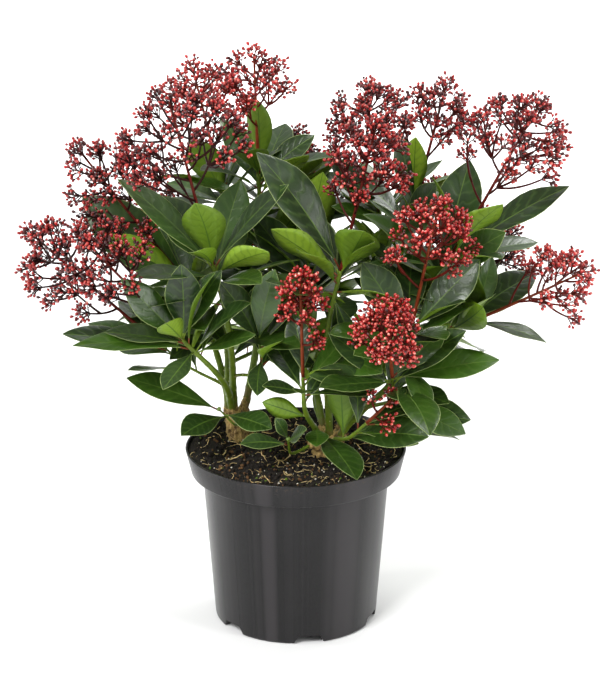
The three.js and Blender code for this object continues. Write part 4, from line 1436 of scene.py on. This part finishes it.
bark = grown("bark", dye(198, 166, 100), dye(92, 70, 40), scale=240.0, amount=1.0,
             roughness=0.75, grain_scale=1200.0, depth=0.7)
for name, shape in CLUMP_SHAPE.items():
    ground = np.array((*shape["foot"], SOIL_TOP - 1.0))
    crown = np.array(CLUMPS[name]["crown"])
    core = Curve(ground, ground + UP * shape["height"] / 2, crown)
    core_radii = np.interp(np.linspace(0, 1, CLUMP_STEPS), (0, 0.5, 1), shape["radii"])
    clump_skin = Skin()
    clump_skin.tube(core.walk(CLUMP_STEPS), core_radii, CLUMP_SIDES)
    for shoot in SHOOTS:
        if shoot["on"] == name:
            add_root(clump_skin, shoot, ground, crown, shape["radii"][0])
    clump_mesh = melted(f"clump_{name}_bark", clump_skin)
    add_relief(clump_mesh, bark_push)
    clump_mesh.materials.append(bark)
    piece(clump_mesh, "bark", f"clump_{name}")

# %% [markdown]
# ## Flower heads
#
# A head is a dome of small domes.  Each side branch bends upwards, splits near its end into
# thin dark twigs, and each twig carries three short stalks with a bud.  The branches that the
# solids have come first; smaller ones fill the gaps that they leave on the dome.  The twigs are
# tubes with three sides, as they are about a millimetre thick, and their buds' places are
# collected as sites for the tree of ovoids.

# %% Twigs of the heads
BUNCH = {
    "sunk": 3.4, "rim": 104.0, "bare": 0.3, "spread": (0.86, 1.08), "bow": 0.16, "sway": 0.05,
    "reach": (1.5, 0.35), "turn": 25.0,
}
BUDS = {
    "count": 3, "open": 42.0, "jitter": 10.0, "turn": 0.5, "low": (0.55, 0.92),
    "stalk": (1.5, 2.7), "sunk": 0.2, "size": (0.8, 1.16),
}
DOME = {
    "middle": 0.68, "high": 0.29, "wide": 0.9, "square": 0.75, "levels": (0.98, -0.15),
    "candidates": 28, "turn": 15.0, "room": 13.5, "radius": 8.4, "steep": 0.85,
    "roots": (0.3, 0.94), "fork": 0.5, "climb": 6.0,
}
HEAD_STEP = 4.0  # millimetres between the rings of a stalk or a branch
TWIG_RADII = {"arm": (1.1, 0.75), "twig": (0.64, 0.58, 0.48), "stalk": 0.38}
# The darker stalk and twig finishes are painted shade: dark and maroon twigs go on heads in painted
# shade, red twigs and orange stalks on heads painted as lit.
STALK_DYES = {
    "orange": ((124, 54, 26), (98, 34, 20)), "red": ((96, 25, 16), (70, 18, 11)),
    "dark": ((46, 11, 8), (30, 8, 6)), "maroon": ((72, 18, 14), (46, 11, 9)),
}
# Coral and pink stand for buds in light and maroon for buds in shade: painted light and shade,
# picked by each head's painted light.
BUD_DYES = {
    "coral": ((184, 20, 24), (250, 150, 130)), "crimson": ((142, 12, 14), (206, 76, 62)),
    "maroon": ((62, 9, 10), (108, 28, 26)), "pink": ((206, 64, 58), (252, 204, 184)),
}
STALK = {name: number for number, name in enumerate(STALK_DYES)}
TINT = {name: number for number, name in enumerate(BUD_DYES)}
CHANCE = {"coral": 0.5, "crimson": 0.62, "more_crimson": 0.28, "pink": 0.08}
PAINTED_SHADE = 0.12
USUAL = (PAINTED_SHADE, 1.0, 1.0)
# The first number is painted light: heads in painted shade get darker buds and twigs, heads painted
# as lit get more coral and pink buds, red twigs and an orange stalk.
HEAD_LOOKS = {  # how bright a head is, how close its bunches stand, how many twigs they have
    "left_tall": (PAINTED_SHADE, 0.95, 1.25), "left_peak": (0.6, 1.0, 1.15), "left_crown": (0.7, 1.0, 1.1),
    "left_far": (PAINTED_SHADE, 0.7, 1.4), "left_low": (PAINTED_SHADE, 0.74, 1.4), "left_upper": (PAINTED_SHADE, 0.74, 1.35),
    "left_back": (PAINTED_SHADE, 0.7, 1.3), "middle_front": (0.8, 1.1, 1.1), "middle_tall": (0.35, 1.0, 1.2),
    "right_peak": (0.3, 1.0, 1.2), "right_rear": (0.3, 1.0, 1.25), "right_upper": (0.3, 1.2, 1.3),
    "right_front": (0.7, 1.0, 1.0), "right_far": (0.7, 0.8, 1.1), "right_low": (0.85, 1.5, 1.5),
    "right_inner": (0.5, 1.0, 1.0), "right_foot": (0.8, 0.7, 1.0),
}
TWIGS = {"arm": 8, "dome": 6}
NARROW = {"middle_front": 0.72}


def bud_tint(painted_light, draw):
    """The number of a bud's finish: coral or pink more often on a head painted as lit, maroon, a
    painted shade, more often on one painted in shade.
    """
    chance = draw(0, 1)
    if chance < CHANCE["coral"] * painted_light:
        return TINT["coral"]
    if chance < CHANCE["crimson"] + CHANCE["more_crimson"] * painted_light:
        return TINT["crimson"]
    return TINT["pink" if chance > 1 - CHANCE["pink"] * painted_light else "maroon"]


def grow_buds(head, twig):
    """Short stalks with a bud each: one goes on from a twig's end, the others open below it."""
    draw, ahead = head["draw"], twig.along(1)
    fan = draw(0, 2 * pi)
    for number in range(BUDS["count"]):
        opening = BUDS["open"] + draw(-BUDS["jitter"], BUDS["jitter"]) if number else 0.0
        around = fan + pi * number + draw(-BUDS["turn"], BUDS["turn"])
        facing = opened(ahead, around, radians(opening))
        foot = twig.at(draw(*BUDS["low"])) if number else twig.points[-1]
        tip = foot + facing * draw(*BUDS["stalk"])
        head["skin"].tube([foot, tip], (TWIG_RADII["stalk"],) * 2, 3, head["finish"])
        head["sites"].append((tip - facing * BUDS["sunk"], facing, draw(*BUDS["size"]),
                              bud_tint(head["painted_light"], draw)))


def grow_bunch(head, root, heart, radius, twigs):
    """A side branch that ends in a small dome of buds round its heart."""
    skin, finish, draw = head["skin"], head["finish"], head["draw"]
    way = heart - root
    length = np.linalg.norm(way)
    right, behind = across(way / length)
    bend = (right * draw(-1, 1) + behind * draw(-1, 1)) * BUNCH["sway"]
    bow = (bend - head["upward"] * BUNCH["bow"]) * length
    branch = Curve(root, root + way / 2 + bow, heart)
    radius = radius - BUNCH["sunk"]
    steps = max(int(length / HEAD_STEP), 3)
    skin.tube(branch.walk(steps), np.linspace(*TWIG_RADII["arm"], steps), 5, finish)
    axis = branch.along(1)
    for number in range(twigs):
        level = 1 - (number + 0.5) / twigs * (1 - cos(radians(BUNCH["rim"])))
        bearing = radians(GOLDEN * number + draw(-BUNCH["turn"], BUNCH["turn"]))
        outward = axis * level + sideways(axis, bearing) * sqrt(1 - level ** 2)
        stop = heart + outward * radius * draw(*BUNCH["spread"])
        back = radius * mix(*BUNCH["reach"], (level + 1) / 2) / length
        share = max(1 - back, BUNCH["bare"])
        start, along = branch.at(share), branch.along(share)
        apart = np.linalg.norm(stop - start)
        twig = Curve(start, start + unit(along + outward) * apart / 2, stop)
        skin.tube(twig.walk(3), TWIG_RADII["twig"], 3, finish)
        grow_buds(head, twig)
    return branch


print(" ".join(STALK_DYES), "twigs and", " ".join(BUD_DYES), "buds")

# %% [markdown]
# ## The dome of a head
#
# The branches of the solids leave gaps.  Candidates spiral down over an ellipsoid round the
# stalk, and each one that is far enough from the bunches before it gets a small bunch of its
# own.  Its branch leaves from the nearest place below it, on the stalk or on another branch.

# %% Heads
def dome_hearts(shoot, stalk, collar, taken, branches, dense, draw):
    """Where smaller bunches fill a head's dome, and where their branches leave."""
    height = (1 - collar) * stalk.length()
    axis = stalk.along(mix(collar, 1, DOME["middle"]))
    centre = stalk.at(mix(collar, 1, DOME["middle"]))
    room = DOME["room"] / dense ** 0.5
    for k in range(DOME["candidates"]):
        level = mix(*DOME["levels"], k / (DOME["candidates"] - 1))
        bearing = radians(GOLDEN * k + shoot["turn"] + draw(-DOME["turn"], DOME["turn"]))
        aside = (shoot["span"] * DOME["wide"] * NARROW.get(shoot["name"], 1.0)
                 * (1 - level ** 2) ** (DOME["square"] / 2))
        heart = centre + axis * height * DOME["high"] * level + sideways(axis, bearing) * aside
        if min(np.linalg.norm(heart - other) for other in taken) > room:
            taken.append(heart)
            share = DOME["middle"] + DOME["high"] * level - aside * DOME["steep"] / height
            share = min(max(share, DOME["roots"][0]), DOME["roots"][1])
            roots = [stalk.at(mix(collar, 1, share))]
            roots += [branch.at(DOME["fork"]) for branch in branches]
            below = [root for root in roots if np.dot(heart - root, axis) > DOME["climb"]]
            yield min(below or roots, key=lambda root: np.linalg.norm(heart - root)), heart


def twig_finish(painted_light):
    """The finish of a head's twigs: red on a head painted as lit, maroon or dark, as painted shade,
    on the others.
    """
    if painted_light > 0.55:
        return STALK["red"]
    return STALK["maroon" if painted_light > 0.25 else "dark"]


def part_of(shoot):
    return shoot["name"].split("_")[0]


def grow_head(number, shoot):
    """A head's stalk, its branches and the bunches that fill its dome."""
    name, stalk, draw = shoot["name"], stalks[shoot["name"]], seeded(SEEDS["bunches"] + number)
    painted_light, dense, full = HEAD_LOOKS.get(name, USUAL)
    skin = twig_skins[part_of(shoot)]
    head = {"skin": skin, "sites": bud_sites[part_of(shoot)], "finish": twig_finish(painted_light),
            "painted_light": painted_light, "upward": stalk.along(0.8), "draw": draw}
    collar = shoot["stack"] / stalk.length()
    steps = max(int(stalk.length() * (1 - collar) / HEAD_STEP), 4)
    # A head painted as lit gets an orange stalk, one in painted shade a red one.
    skin.tube(stalk.walk(steps, collar), np.linspace(STEM_RADII["neck"], STEM_RADII["end"], steps),
              8, STALK["orange" if painted_light > 0.4 else "red"])
    hearts, branches = [], []
    for arm in arms:
        if arm["shoot"] == name:
            hearts.append(arm["root"] + arm["way"] * arm["length"])
            branches.append(grow_bunch(head, arm["root"], hearts[-1], arm["radius"],
                                       round(TWIGS["arm"] * full)))
    dome_radius = DOME["radius"] * min(full, 1.15)
    for root, heart in dome_hearts(shoot, stalk, collar, hearts, branches, dense, draw):
        grow_bunch(head, root, heart, dome_radius, round(TWIGS["dome"] * full))
    print(name, len(hearts), "bunches")


head_finishes = [grown(f"stalk_{name}", dye(*colour), dye(*other), scale=180.0, specular=0.15)
                 for name, (colour, other) in STALK_DYES.items()]
PARTS = ("left", "middle", "right")
twig_skins = {part: Skin() for part in PARTS}
bud_sites = {part: [] for part in PARTS}
for number, shoot in enumerate(SHOOTS):
    if shoot["arms"]:
        grow_head(number, shoot)

masses_of = {part: [f"mass_{s['name']}" for s in SHOOTS if s["arms"] and part_of(s) == part]
             for part in PARTS}
for part, skin in twig_skins.items():
    piece(skin.mesh(f"flower_twigs_{part}", head_finishes), "green_stem", *masses_of[part])

# %% [markdown]
# ## Buds
#
# A bud is a tight little egg, three to four millimetres long, red with a paler, glossy tip.
# The pale tip is partly the bud's own and partly a painted highlight.
# The tree of ovoids stores how near each point is to the tip, and the finish blends the two
# colours by that number.

# %% Buds
BUD = {"Width": 0.0031, "Length": 0.0037, "Taper": 0.12, "Neck": 0.5, "Sides": 6, "Rings": 4}


def bud_finish(name, colour, tip_and_highlight_colour):
    """A bud's glossy skin, which pales towards its tip: partly a pale tip, partly a painted
    highlight.
    """
    material = grown(name, colour, tuple(c * 0.6 for c in colour), scale=260.0, amount=0.5,
                     roughness=0.34, grain_scale=1600.0, depth=0.08, specular=0.3,
                     coat=(0.6, 0.12))
    tree = material.node_tree
    near_tip = put(tree, "ShaderNodeAttribute", attribute_name="tip", out=2)
    # Paler towards the tip: partly the bud's own pale tip, partly a painted highlight.
    pale_tip_and_highlight = put(tree, "ShaderNodeMapRange", near_tip, 0.7, 1.0, 0.0, 0.75)
    lay_over(material, pale_tip_and_highlight, tip_and_highlight_colour)
    return material


bud_finishes = [bud_finish(f"bud_{name}", dye(*colour), dye(*tip_and_highlight_colour))
                for name, (colour, tip_and_highlight_colour) in BUD_DYES.items()]
for part, sites in bud_sites.items():
    print(len(sites), "buds")
    piece(ovoids_at(f"buds_{part}", sites, bud_finishes, **BUD), "buds", *masses_of[part])

# %% [markdown]
# ## The pot
#
# A nursery pot is blown or moulded from thin dark plastic: a tapered wall, a wider band at the
# rim that fingers can grip, and arches round the foot that let water out.  It is one turned
# profile: up the outside, over the rounded lip and down the inside.  Boolean modifiers cut the
# drain holes first and the arches after them.  The roundings are in the profile and in the
# cutters, which is cleaner than a Bevel on edges that a Boolean has left.

# %% Pot shape
POT = {
    "height": 155.0, "rim_radius": 95.0, "rim_foot": 90.5, "rim_band": 21.0,
    "body_radius": 80.5, "base_radius": 70.5, "base_rounding": 2.6, "wall": 1.8, "floor": 9.6,
    "hem": 1.3,
}
ARCH = {
    "count": 6, "first": -80.7, "width": 24.0, "height": 7.5, "depth": 21.0, "corner": 2.6,
    "draft": 1.6, "toe": 2.6, "drain": 4.5, "drain_place": 0.55, "beyond": 10.0,
}
POT_SIDES = 160
RIM_FOOT_HEIGHT = POT["height"] - POT["rim_band"]


def arc(centre, radius, start, stop, steps=4):
    """Points of an arc in a flat outline; the angles are in degrees."""
    angles = np.radians(np.linspace(start, stop, steps + 1))
    return [(centre[0] + radius * cos(a), centre[1] + radius * sin(a)) for a in angles]


def turned(name, profile, sides=POT_SIDES):
    """A solid of revolution; its profile runs from the axis at the bottom to the axis on top."""
    inner = profile[1:-1]
    angles = np.arange(sides) * 2 * pi / sides
    ways = np.column_stack((np.cos(angles), np.sin(angles)))
    points = np.concatenate([np.column_stack((ways * r, np.full(sides, z))) for r, z in inner])
    foot, top = len(points), len(points) + 1
    points = np.concatenate((points, [(0, 0, profile[0][1]), (0, 0, profile[-1][1])]))
    faces = []
    for k in range(sides):
        after = (k + 1) % sides
        faces.append((after, k, foot))
        for i in range(len(inner) - 1):
            faces.append((i * sides + k, i * sides + after,
                          (i + 1) * sides + after, (i + 1) * sides + k))
        last = (len(inner) - 1) * sides
        faces.append((last + k, last + after, top))
    skin = Skin()
    skin.add(points, faces, 0)
    return skin.mesh(name, [])


def arch_turn(k):
    """Turns a place that looks to the front round to one of the arches."""
    angle = radians(90 + ARCH["first"] + k * 360 / ARCH["count"])
    return Matrix.Rotation(angle, 3, "Z")


def arch_cutter(k):
    """The slot of one arch between two feet, with rounded corners."""
    half, roof, corner, toe = ARCH["width"] / 2, ARCH["height"], ARCH["corner"], ARCH["toe"]
    right = [(half + toe, -ARCH["beyond"])]
    right += arc((half + toe, toe), toe, 270, 180)
    right += arc((half - ARCH["draft"] - corner, roof - corner), corner, 0, 90)
    outline = right + [(-x, z) for x, z in reversed(right)]
    near = -(POT["base_radius"] - ARCH["depth"])
    far = near - ARCH["depth"] - ARCH["beyond"]
    count = len(outline)
    points = [(x, y, z) for y in (near, far) for x, z in outline]
    faces = [tuple(reversed(range(count))), tuple(range(count, 2 * count))]
    faces += [(i, (i + 1) % count, (i + 1) % count + count, i + count) for i in range(count)]
    skin = Skin()
    skin.add([arch_turn(k) @ Vector(point) for point in points], faces, 0)
    return skin.mesh("arch", [])


def drain_cutter(k):
    """The drain hole in the roof of one arch."""
    place = -(POT["base_radius"] - ARCH["depth"] * ARCH["drain_place"])
    skin = Skin()
    path = [arch_turn(k) @ Vector((0, place, ARCH["height"] + step))
            for step in (-ARCH["beyond"], ARCH["beyond"])]
    skin.tube(path, (ARCH["drain"],) * 2, 24)
    return skin.mesh("drain", [])


def carve(mesh, cutters):
    """Cuts meshes out of a mesh; the meshes themselves go, and their objects with them."""
    tools = bpy.data.collections.new("cutters")
    holders = [bpy.data.objects.new(cutter.name, cutter) for cutter in cutters]
    for holder in holders:
        tools.objects.link(holder)
    scene.collection.children.link(tools)
    body = new_object(mesh.name, mesh)
    cut = body.modifiers.new("carve", "BOOLEAN")
    cut.operand_type = "COLLECTION"
    cut.collection = tools
    cut.operation = "DIFFERENCE"
    cut.solver = "EXACT"
    made = made_plain(body)
    for solid in (mesh, *cutters):
        bpy.data.meshes.remove(solid)
    bpy.data.collections.remove(tools)
    return made


wall, shelf = POT["wall"], RIM_FOOT_HEIGHT + POT["wall"]
slope = (POT["rim_radius"] - POT["rim_foot"]) / POT["rim_band"]
top, lip, hem, rounding = POT["height"], POT["wall"] / 2, POT["hem"], POT["base_rounding"]
shell = turned("pot_wall", [
    (0, 0), *arc((POT["base_radius"] - rounding, rounding), rounding, 270, 360),
    (POT["body_radius"], RIM_FOOT_HEIGHT),
    *arc((POT["rim_foot"] - hem, RIM_FOOT_HEIGHT + hem), hem, 270, 365),
    *arc((POT["rim_radius"] - lip, top - lip), lip, 10, 170, 8),
    (POT["rim_foot"] - wall, shelf), (POT["body_radius"] - wall, shelf - wall),
    (POT["base_radius"] - wall, POT["floor"]), (0, POT["floor"]),
])
ARCHES = range(ARCH["count"])
pot_mesh = carve(shell, [drain_cutter(k) for k in ARCHES])
pot_mesh = carve(pot_mesh, [arch_cutter(k) for k in ARCHES])
pot_mesh.name = "pot_wall"
pot_mesh.materials.clear()
pot_mesh.set_sharp_from_angle(angle=radians(40))
print("pot:", len(pot_mesh.vertices), "points")

# %% [markdown]
# ## The pot's plastic
#
# Dark grey polypropylene, half glossy, with the fine grain of a blasted mould.  Faint upright
# streaks show how the plastic flowed, and a little soil dust clings under the lip.  All of it is
# drawn from the object's own coordinates, so that it stays put when the pot is turned.
# Three lighter upright bands at fixed turns are painted highlights, where the lamps' reflections
# fall on the pot.

# %% Pot plastic
# Painted highlights: lighter upright bands, at turns from the front where the lamps' reflections
# fall.
PAINTED_HIGHLIGHT_LINES = ((-17.0, 6.0), (34.0, 12.0), (142.0, 7.0))  # turns from the front, and half widths
DUSTY = (0.144, 0.1552)  # metres above the ground where the dust begins, and where it is full
pot_plastic = grown("pot_plastic", dye(15, 14, 15), dye(20, 19, 20), scale=30.0, amount=0.8,
                    roughness=0.27, grain_scale=2400.0, depth=0.05, spread=0.1, specular=0.34)
tree = pot_plastic.node_tree
shader = tree.nodes["Principled BSDF"]
place = put(tree, "ShaderNodeTexCoord", out=3)
level = put(tree, "ShaderNodeVectorMath", place, (1.0, 1.0, 0.0), operation="MULTIPLY")
bearing = put(tree, "ShaderNodeVectorMath", level, operation="NORMALIZE")
broad = put(tree, "ShaderNodeTexNoise", bearing, None, 3.0, 1.0, 0.5)
narrow = put(tree, "ShaderNodeTexNoise", bearing, None, 22.0, 2.0, 0.6)
flow_streaks_and_highlights = sum_up(tree, "ADD", sum_up(tree, "MULTIPLY", broad, 0.7),
                 sum_up(tree, "MULTIPLY", narrow, 0.3))
flow_streaks_and_highlights = put(tree, "ShaderNodeMapRange", flow_streaks_and_highlights, 0.46, 0.64, 0.0, 0.5)
# Each painted highlight band is laid in as a lighter upright streak round its turn.
for turn, width in PAINTED_HIGHLIGHT_LINES:
    highlight_way = (sin(radians(turn)), -cos(radians(turn)), 0.0)
    facing = put(tree, "ShaderNodeVectorMath", bearing, highlight_way, operation="DOT_PRODUCT", out=1)
    line = put(tree, "ShaderNodeMapRange", facing, cos(radians(width)), 1.0, 0.0, 1.0)
    line.node.interpolation_type = "SMOOTHSTEP"
    flow_streaks_and_highlights = sum_up(tree, "MAXIMUM", flow_streaks_and_highlights, line)
height = put(tree, "ShaderNodeSeparateXYZ", place).node.outputs["Z"]
near_lip = put(tree, "ShaderNodeMapRange", height, *DUSTY, 0.0, 1.0)
specks = put(tree, "ShaderNodeTexNoise", place, None, 420.0, 4.0, 0.7)
dusty = put(tree, "ShaderNodeMapRange", specks, 0.56, 0.72, 0.0, 0.6)
dust = sum_up(tree, "MULTIPLY", near_lip, dusty)
# The lighter plastic goes on the flow streaks and on the painted highlight bands.
lay_over(pot_plastic, sum_up(tree, "MULTIPLY", flow_streaks_and_highlights, 0.6), dye(54, 51, 53))
lay_over(pot_plastic, dust, dye(84, 68, 50))
rough = shader.inputs["Roughness"].links[0].from_socket
rough = sum_up(tree, "ADD", rough, sum_up(tree, "MULTIPLY", dust, 0.5))
tree.links.new(sum_up(tree, "ADD", rough, sum_up(tree, "MULTIPLY", flow_streaks_and_highlights, 0.1)),
               shader.inputs["Roughness"])
pot_mesh.materials.append(pot_plastic)
piece(pot_mesh, "pot_plastic", "pot")

# %% [markdown]
# ## The soil
#
# Dark peat fills the pot nearly to the brim.  Its top is a disc of rings, pushed up and down by
# noise at three sizes: broad humps, clods and grains.  It rises a little round the clumps.

# %% Soil
SOIL = {
    "rings": 70, "sectors": 220, "edge": 151.5, "flat": 62.0, "margin": 0.3, "mound": 2.6,
    "mound_area": 700.0, "calm": 0.4, "depth": 8.0, "taper": 0.99,
}
HUMPS = ((1.3, 0.045, 3.0), (1.8, 0.15, 7.0), (1.3, 0.4, 9.0))  # height, scale, slice of noise
soil_radius = POT["rim_foot"] - wall + slope * (SOIL["edge"] - shelf) - SOIL["margin"]


def soil_height(x, y):
    """How high the peat lies at a place."""
    radius = hypot(x, y)
    edge = min(max((radius - SOIL["flat"]) / (soil_radius - SOIL["flat"]), 0.0), 1.0)
    feet = [clump["foot"] for clump in CLUMP_SHAPE.values()]
    mound = sum(SOIL["mound"] * exp(-((x - a) ** 2 + (y - b) ** 2) / SOIL["mound_area"])
                for a, b in feet)
    humps = sum(rise * noise.noise((x * scale, y * scale, cut)) for rise, scale, cut in HUMPS)
    return mix(SOIL_TOP, SOIL["edge"], edge) + mound + humps * (1 - SOIL["calm"] * edge)


sectors = SOIL["sectors"]
reaches = soil_radius * (np.arange(1, SOIL["rings"] + 1) / SOIL["rings"])
bearings = np.arange(sectors) * 2 * pi / sectors
soil_points = [(0.0, 0.0, soil_height(0.0, 0.0))]
for reach in reaches:
    for bearing in bearings:
        x, y = reach * cos(bearing), reach * sin(bearing)
        soil_points.append((x, y, soil_height(x, y)))
bottom, foot = SOIL["edge"] - SOIL["depth"], soil_radius * SOIL["taper"]
soil_points += [(foot * cos(b), foot * sin(b), bottom) for b in bearings]
soil_faces = [(0, 1 + k, 1 + (k + 1) % sectors) for k in range(sectors)]
for ring in range(SOIL["rings"]):
    low, high = 1 + ring * sectors, 1 + (ring + 1) * sectors
    soil_faces += [(low + k, high + k, high + (k + 1) % sectors, low + (k + 1) % sectors)
                   for k in range(sectors)]
soil_faces.append(tuple(reversed(range(len(soil_points) - sectors, len(soil_points)))))
soil_skin = Skin()
soil_skin.add(soil_points, soil_faces, 0)
peat = grown("peat", dye(12, 8, 5), dye(34, 24, 14), scale=300.0, amount=0.9,
             roughness=0.95, grain_scale=1500.0, depth=1.0, spread=0.1)
soil_mesh = soil_skin.mesh("peat", [peat])
piece(soil_mesh, "potting_soil", "soil")

# %% [markdown]
# ## What lies on the soil
#
# Potting soil is never a smooth skin.  Crumbs of peat lie loose on it, pale rootlets curl out of
# it, and there are a few white grains and some moss.  A second tree scatters bits over a ground:
# it lays out points by chance from a seed, puts a crumb or a bent thread on each, turned and
# sized by chance, and pushes the realized points about a little, so that no two are alike.

# %% Litter
CRUMB_SQUASH = (1.0, 0.8, 0.7)
THREAD = {"points": 9, "sides": 3, "bend": 1.9}  # the bend is in radians

litter, given, result = node_group(
    "litter", "GeometryNodeTree",
    [("Ground", "Geometry", None), ("Seed", "Int", 1),
     ("Density", "Float", 10000.0), ("Threads", "Bool", False),
     ("Size", "Float", 0.002), ("Thickness", "Float", 0.0003),
     ("Crinkle", "Float", 0.001), ("Lift", "Float", 0.0005),
     ("Finish", "Material", None)],
    [("Litter", "Geometry")],
)
litter.is_modifier = True
scattered = put(litter, "GeometryNodeDistributePointsOnFaces", given["Ground"]).node
for title in ("Density", "Seed"):
    litter.links.new(given[title], scattered.inputs[title])
crumb = put(litter, "GeometryNodeMeshIcoSphere", 0.5, 1)
crumb = put(litter, "GeometryNodeTransform", crumb).node
crumb.inputs["Scale"].default_value = CRUMB_SQUASH
bend = put(litter, "GeometryNodeCurveArc", THREAD["points"], None, None, None, 1.0, 0.0,
           THREAD["bend"])
ring = put(litter, "GeometryNodeCurvePrimitiveCircle", THREAD["sides"]).node
thin = sum_up(litter, "DIVIDE", given["Thickness"], given["Size"])
litter.links.new(thin, ring.inputs["Radius"])
thread = put(litter, "GeometryNodeCurveToMesh", bend, ring.outputs[0]).node
thread.inputs["Fill Caps"].default_value = True
bit = put(litter, "GeometryNodeSwitch", input_type="GEOMETRY").node
litter.links.new(given["Threads"], bit.inputs["Switch"])
litter.links.new(crumb.outputs[0], bit.inputs["False"])
litter.links.new(thread.outputs[0], bit.inputs["True"])


def chance_between(low, high, salt):
    """A vector or number by chance for each point of the litter tree."""
    kind = "FLOAT" if isinstance(low, float) else "FLOAT_VECTOR"
    made = litter.nodes.new("FunctionNodeRandomValue")
    made.data_type = kind
    ends = [socket for socket in made.inputs if socket.enabled and socket.name in ("Min", "Max")]
    ends[0].default_value, ends[1].default_value = low, high
    litter.links.new(sum_up(litter, "ADD", given["Seed"], float(salt)),
                     made.inputs["Seed"])
    return next(socket for socket in made.outputs if socket.enabled)


TURN, TILT = 6.28, 0.35  # how far a crumb is turned, and how far a thread stands up, in radians
any_way = chance_between((0.0, 0.0, 0.0), (TURN, TURN, TURN), 11)
flat_way = chance_between((-TILT, -TILT, 0.0), (TILT, TILT, TURN), 12)
turned_way = put(litter, "GeometryNodeSwitch", input_type="VECTOR").node
litter.links.new(given["Threads"], turned_way.inputs["Switch"])
litter.links.new(any_way, turned_way.inputs["False"])
litter.links.new(flat_way, turned_way.inputs["True"])
spread = chance_between(0.45, 1.0, 13)
sized = sum_up(litter, "MULTIPLY", sum_up(litter, "POWER", spread, 2.0), given["Size"])
laid_bits = put(litter, "GeometryNodeInstanceOnPoints", scattered.outputs["Points"], None,
                bit.outputs[0], None, None, turned_way.outputs[0], sized)
bits = put(litter, "GeometryNodeRealizeInstances", laid_bits)
swirl = put(litter, "ShaderNodeTexNoise", put(litter, "GeometryNodeInputPosition"), None, 110.0,
            1.0).node.outputs["Color"]
swirl = put(litter, "ShaderNodeVectorMath", swirl, (0.5, 0.5, 0.5), operation="SUBTRACT")
crinkle = put(litter, "ShaderNodeVectorMath", swirl, operation="SCALE").node
litter.links.new(given["Crinkle"], crinkle.inputs["Scale"])
lift = put(litter, "ShaderNodeCombineXYZ", 0.0, 0.0, given["Lift"])
moved = put(litter, "ShaderNodeVectorMath", crinkle.outputs[0], lift, operation="ADD")
bits = put(litter, "GeometryNodeSetPosition", bits, None, None, moved)
bits = put(litter, "GeometryNodeSetMaterial", bits, None, given["Finish"])
litter.links.new(bits, result["Litter"])
print("tree", litter.name, "with", len(litter.nodes), "nodes")

# %% [markdown]
# ## Laying it out
#
# The same tree runs five times over the peat's faces, each time with a finish, a seed and sizes
# of its own.  It keeps off the outermost ring, so that nothing sticks into the pot's wall.

# %% Crumbs, rootlets, grains and moss
GROUND_REACH = 88.5
ground_faces = [face for face in soil_faces[:-1]
                if max(hypot(*soil_points[k][:2]) for k in face) < GROUND_REACH]
crumb_dark = grown("crumb_dark", dye(14, 9, 5), dye(40, 28, 16), scale=420.0, roughness=0.95)
crumb_brown = grown("crumb_brown", dye(100, 70, 38), dye(56, 38, 20), scale=420.0, roughness=0.9)
rootlet = grown("rootlet", dye(232, 206, 146), dye(176, 140, 84), scale=200.0, roughness=0.7)
grain_white = grown("grain_white", dye(236, 230, 216), dye(200, 190, 170), roughness=0.8)
moss = grown("moss", dye(92, 118, 22), dye(60, 84, 16), scale=420.0, roughness=0.9)
LITTER = (
    ("crumbs_dark", crumb_dark, dict(Seed=3, Density=56000.0, Size=0.0056, Crinkle=0.003,
                                     Lift=0.0009)),
    ("crumbs_brown", crumb_brown, dict(Seed=5, Density=11000.0, Size=0.0042, Crinkle=0.0024,
                                       Lift=0.0012)),
    ("rootlets", rootlet, dict(Seed=8, Density=8600.0, Size=0.0088, Threads=True, Crinkle=0.01,
                               Thickness=0.0004, Lift=0.0024)),
    ("grains_white", grain_white, dict(Seed=13, Density=4200.0, Size=0.0022, Crinkle=0.001,
                                       Lift=0.0018)),
    ("moss_bits", moss, dict(Seed=21, Density=2400.0, Size=0.0034, Crinkle=0.0024,
                             Lift=0.0016)),
)
for name, finish, settings in LITTER:
    ground = bpy.data.meshes.new("ground")
    ground.from_pydata([[value * MM for value in point] for point in soil_points], [],
                       ground_faces)
    piece(run_tree(name, litter, ground, {"Finish": finish, **settings}), "potting_soil", "soil")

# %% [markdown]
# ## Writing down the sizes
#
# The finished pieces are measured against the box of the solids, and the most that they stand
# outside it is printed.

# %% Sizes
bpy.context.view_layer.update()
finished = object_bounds()
stands_out = max(max(CAD_BOX[0][k] - finished[0][k], finished[1][k] - CAD_BOX[1][k])
                 for k in range(3))
print(f"the finished plant stands at most {stands_out / MM:.1f} mm outside the frame")
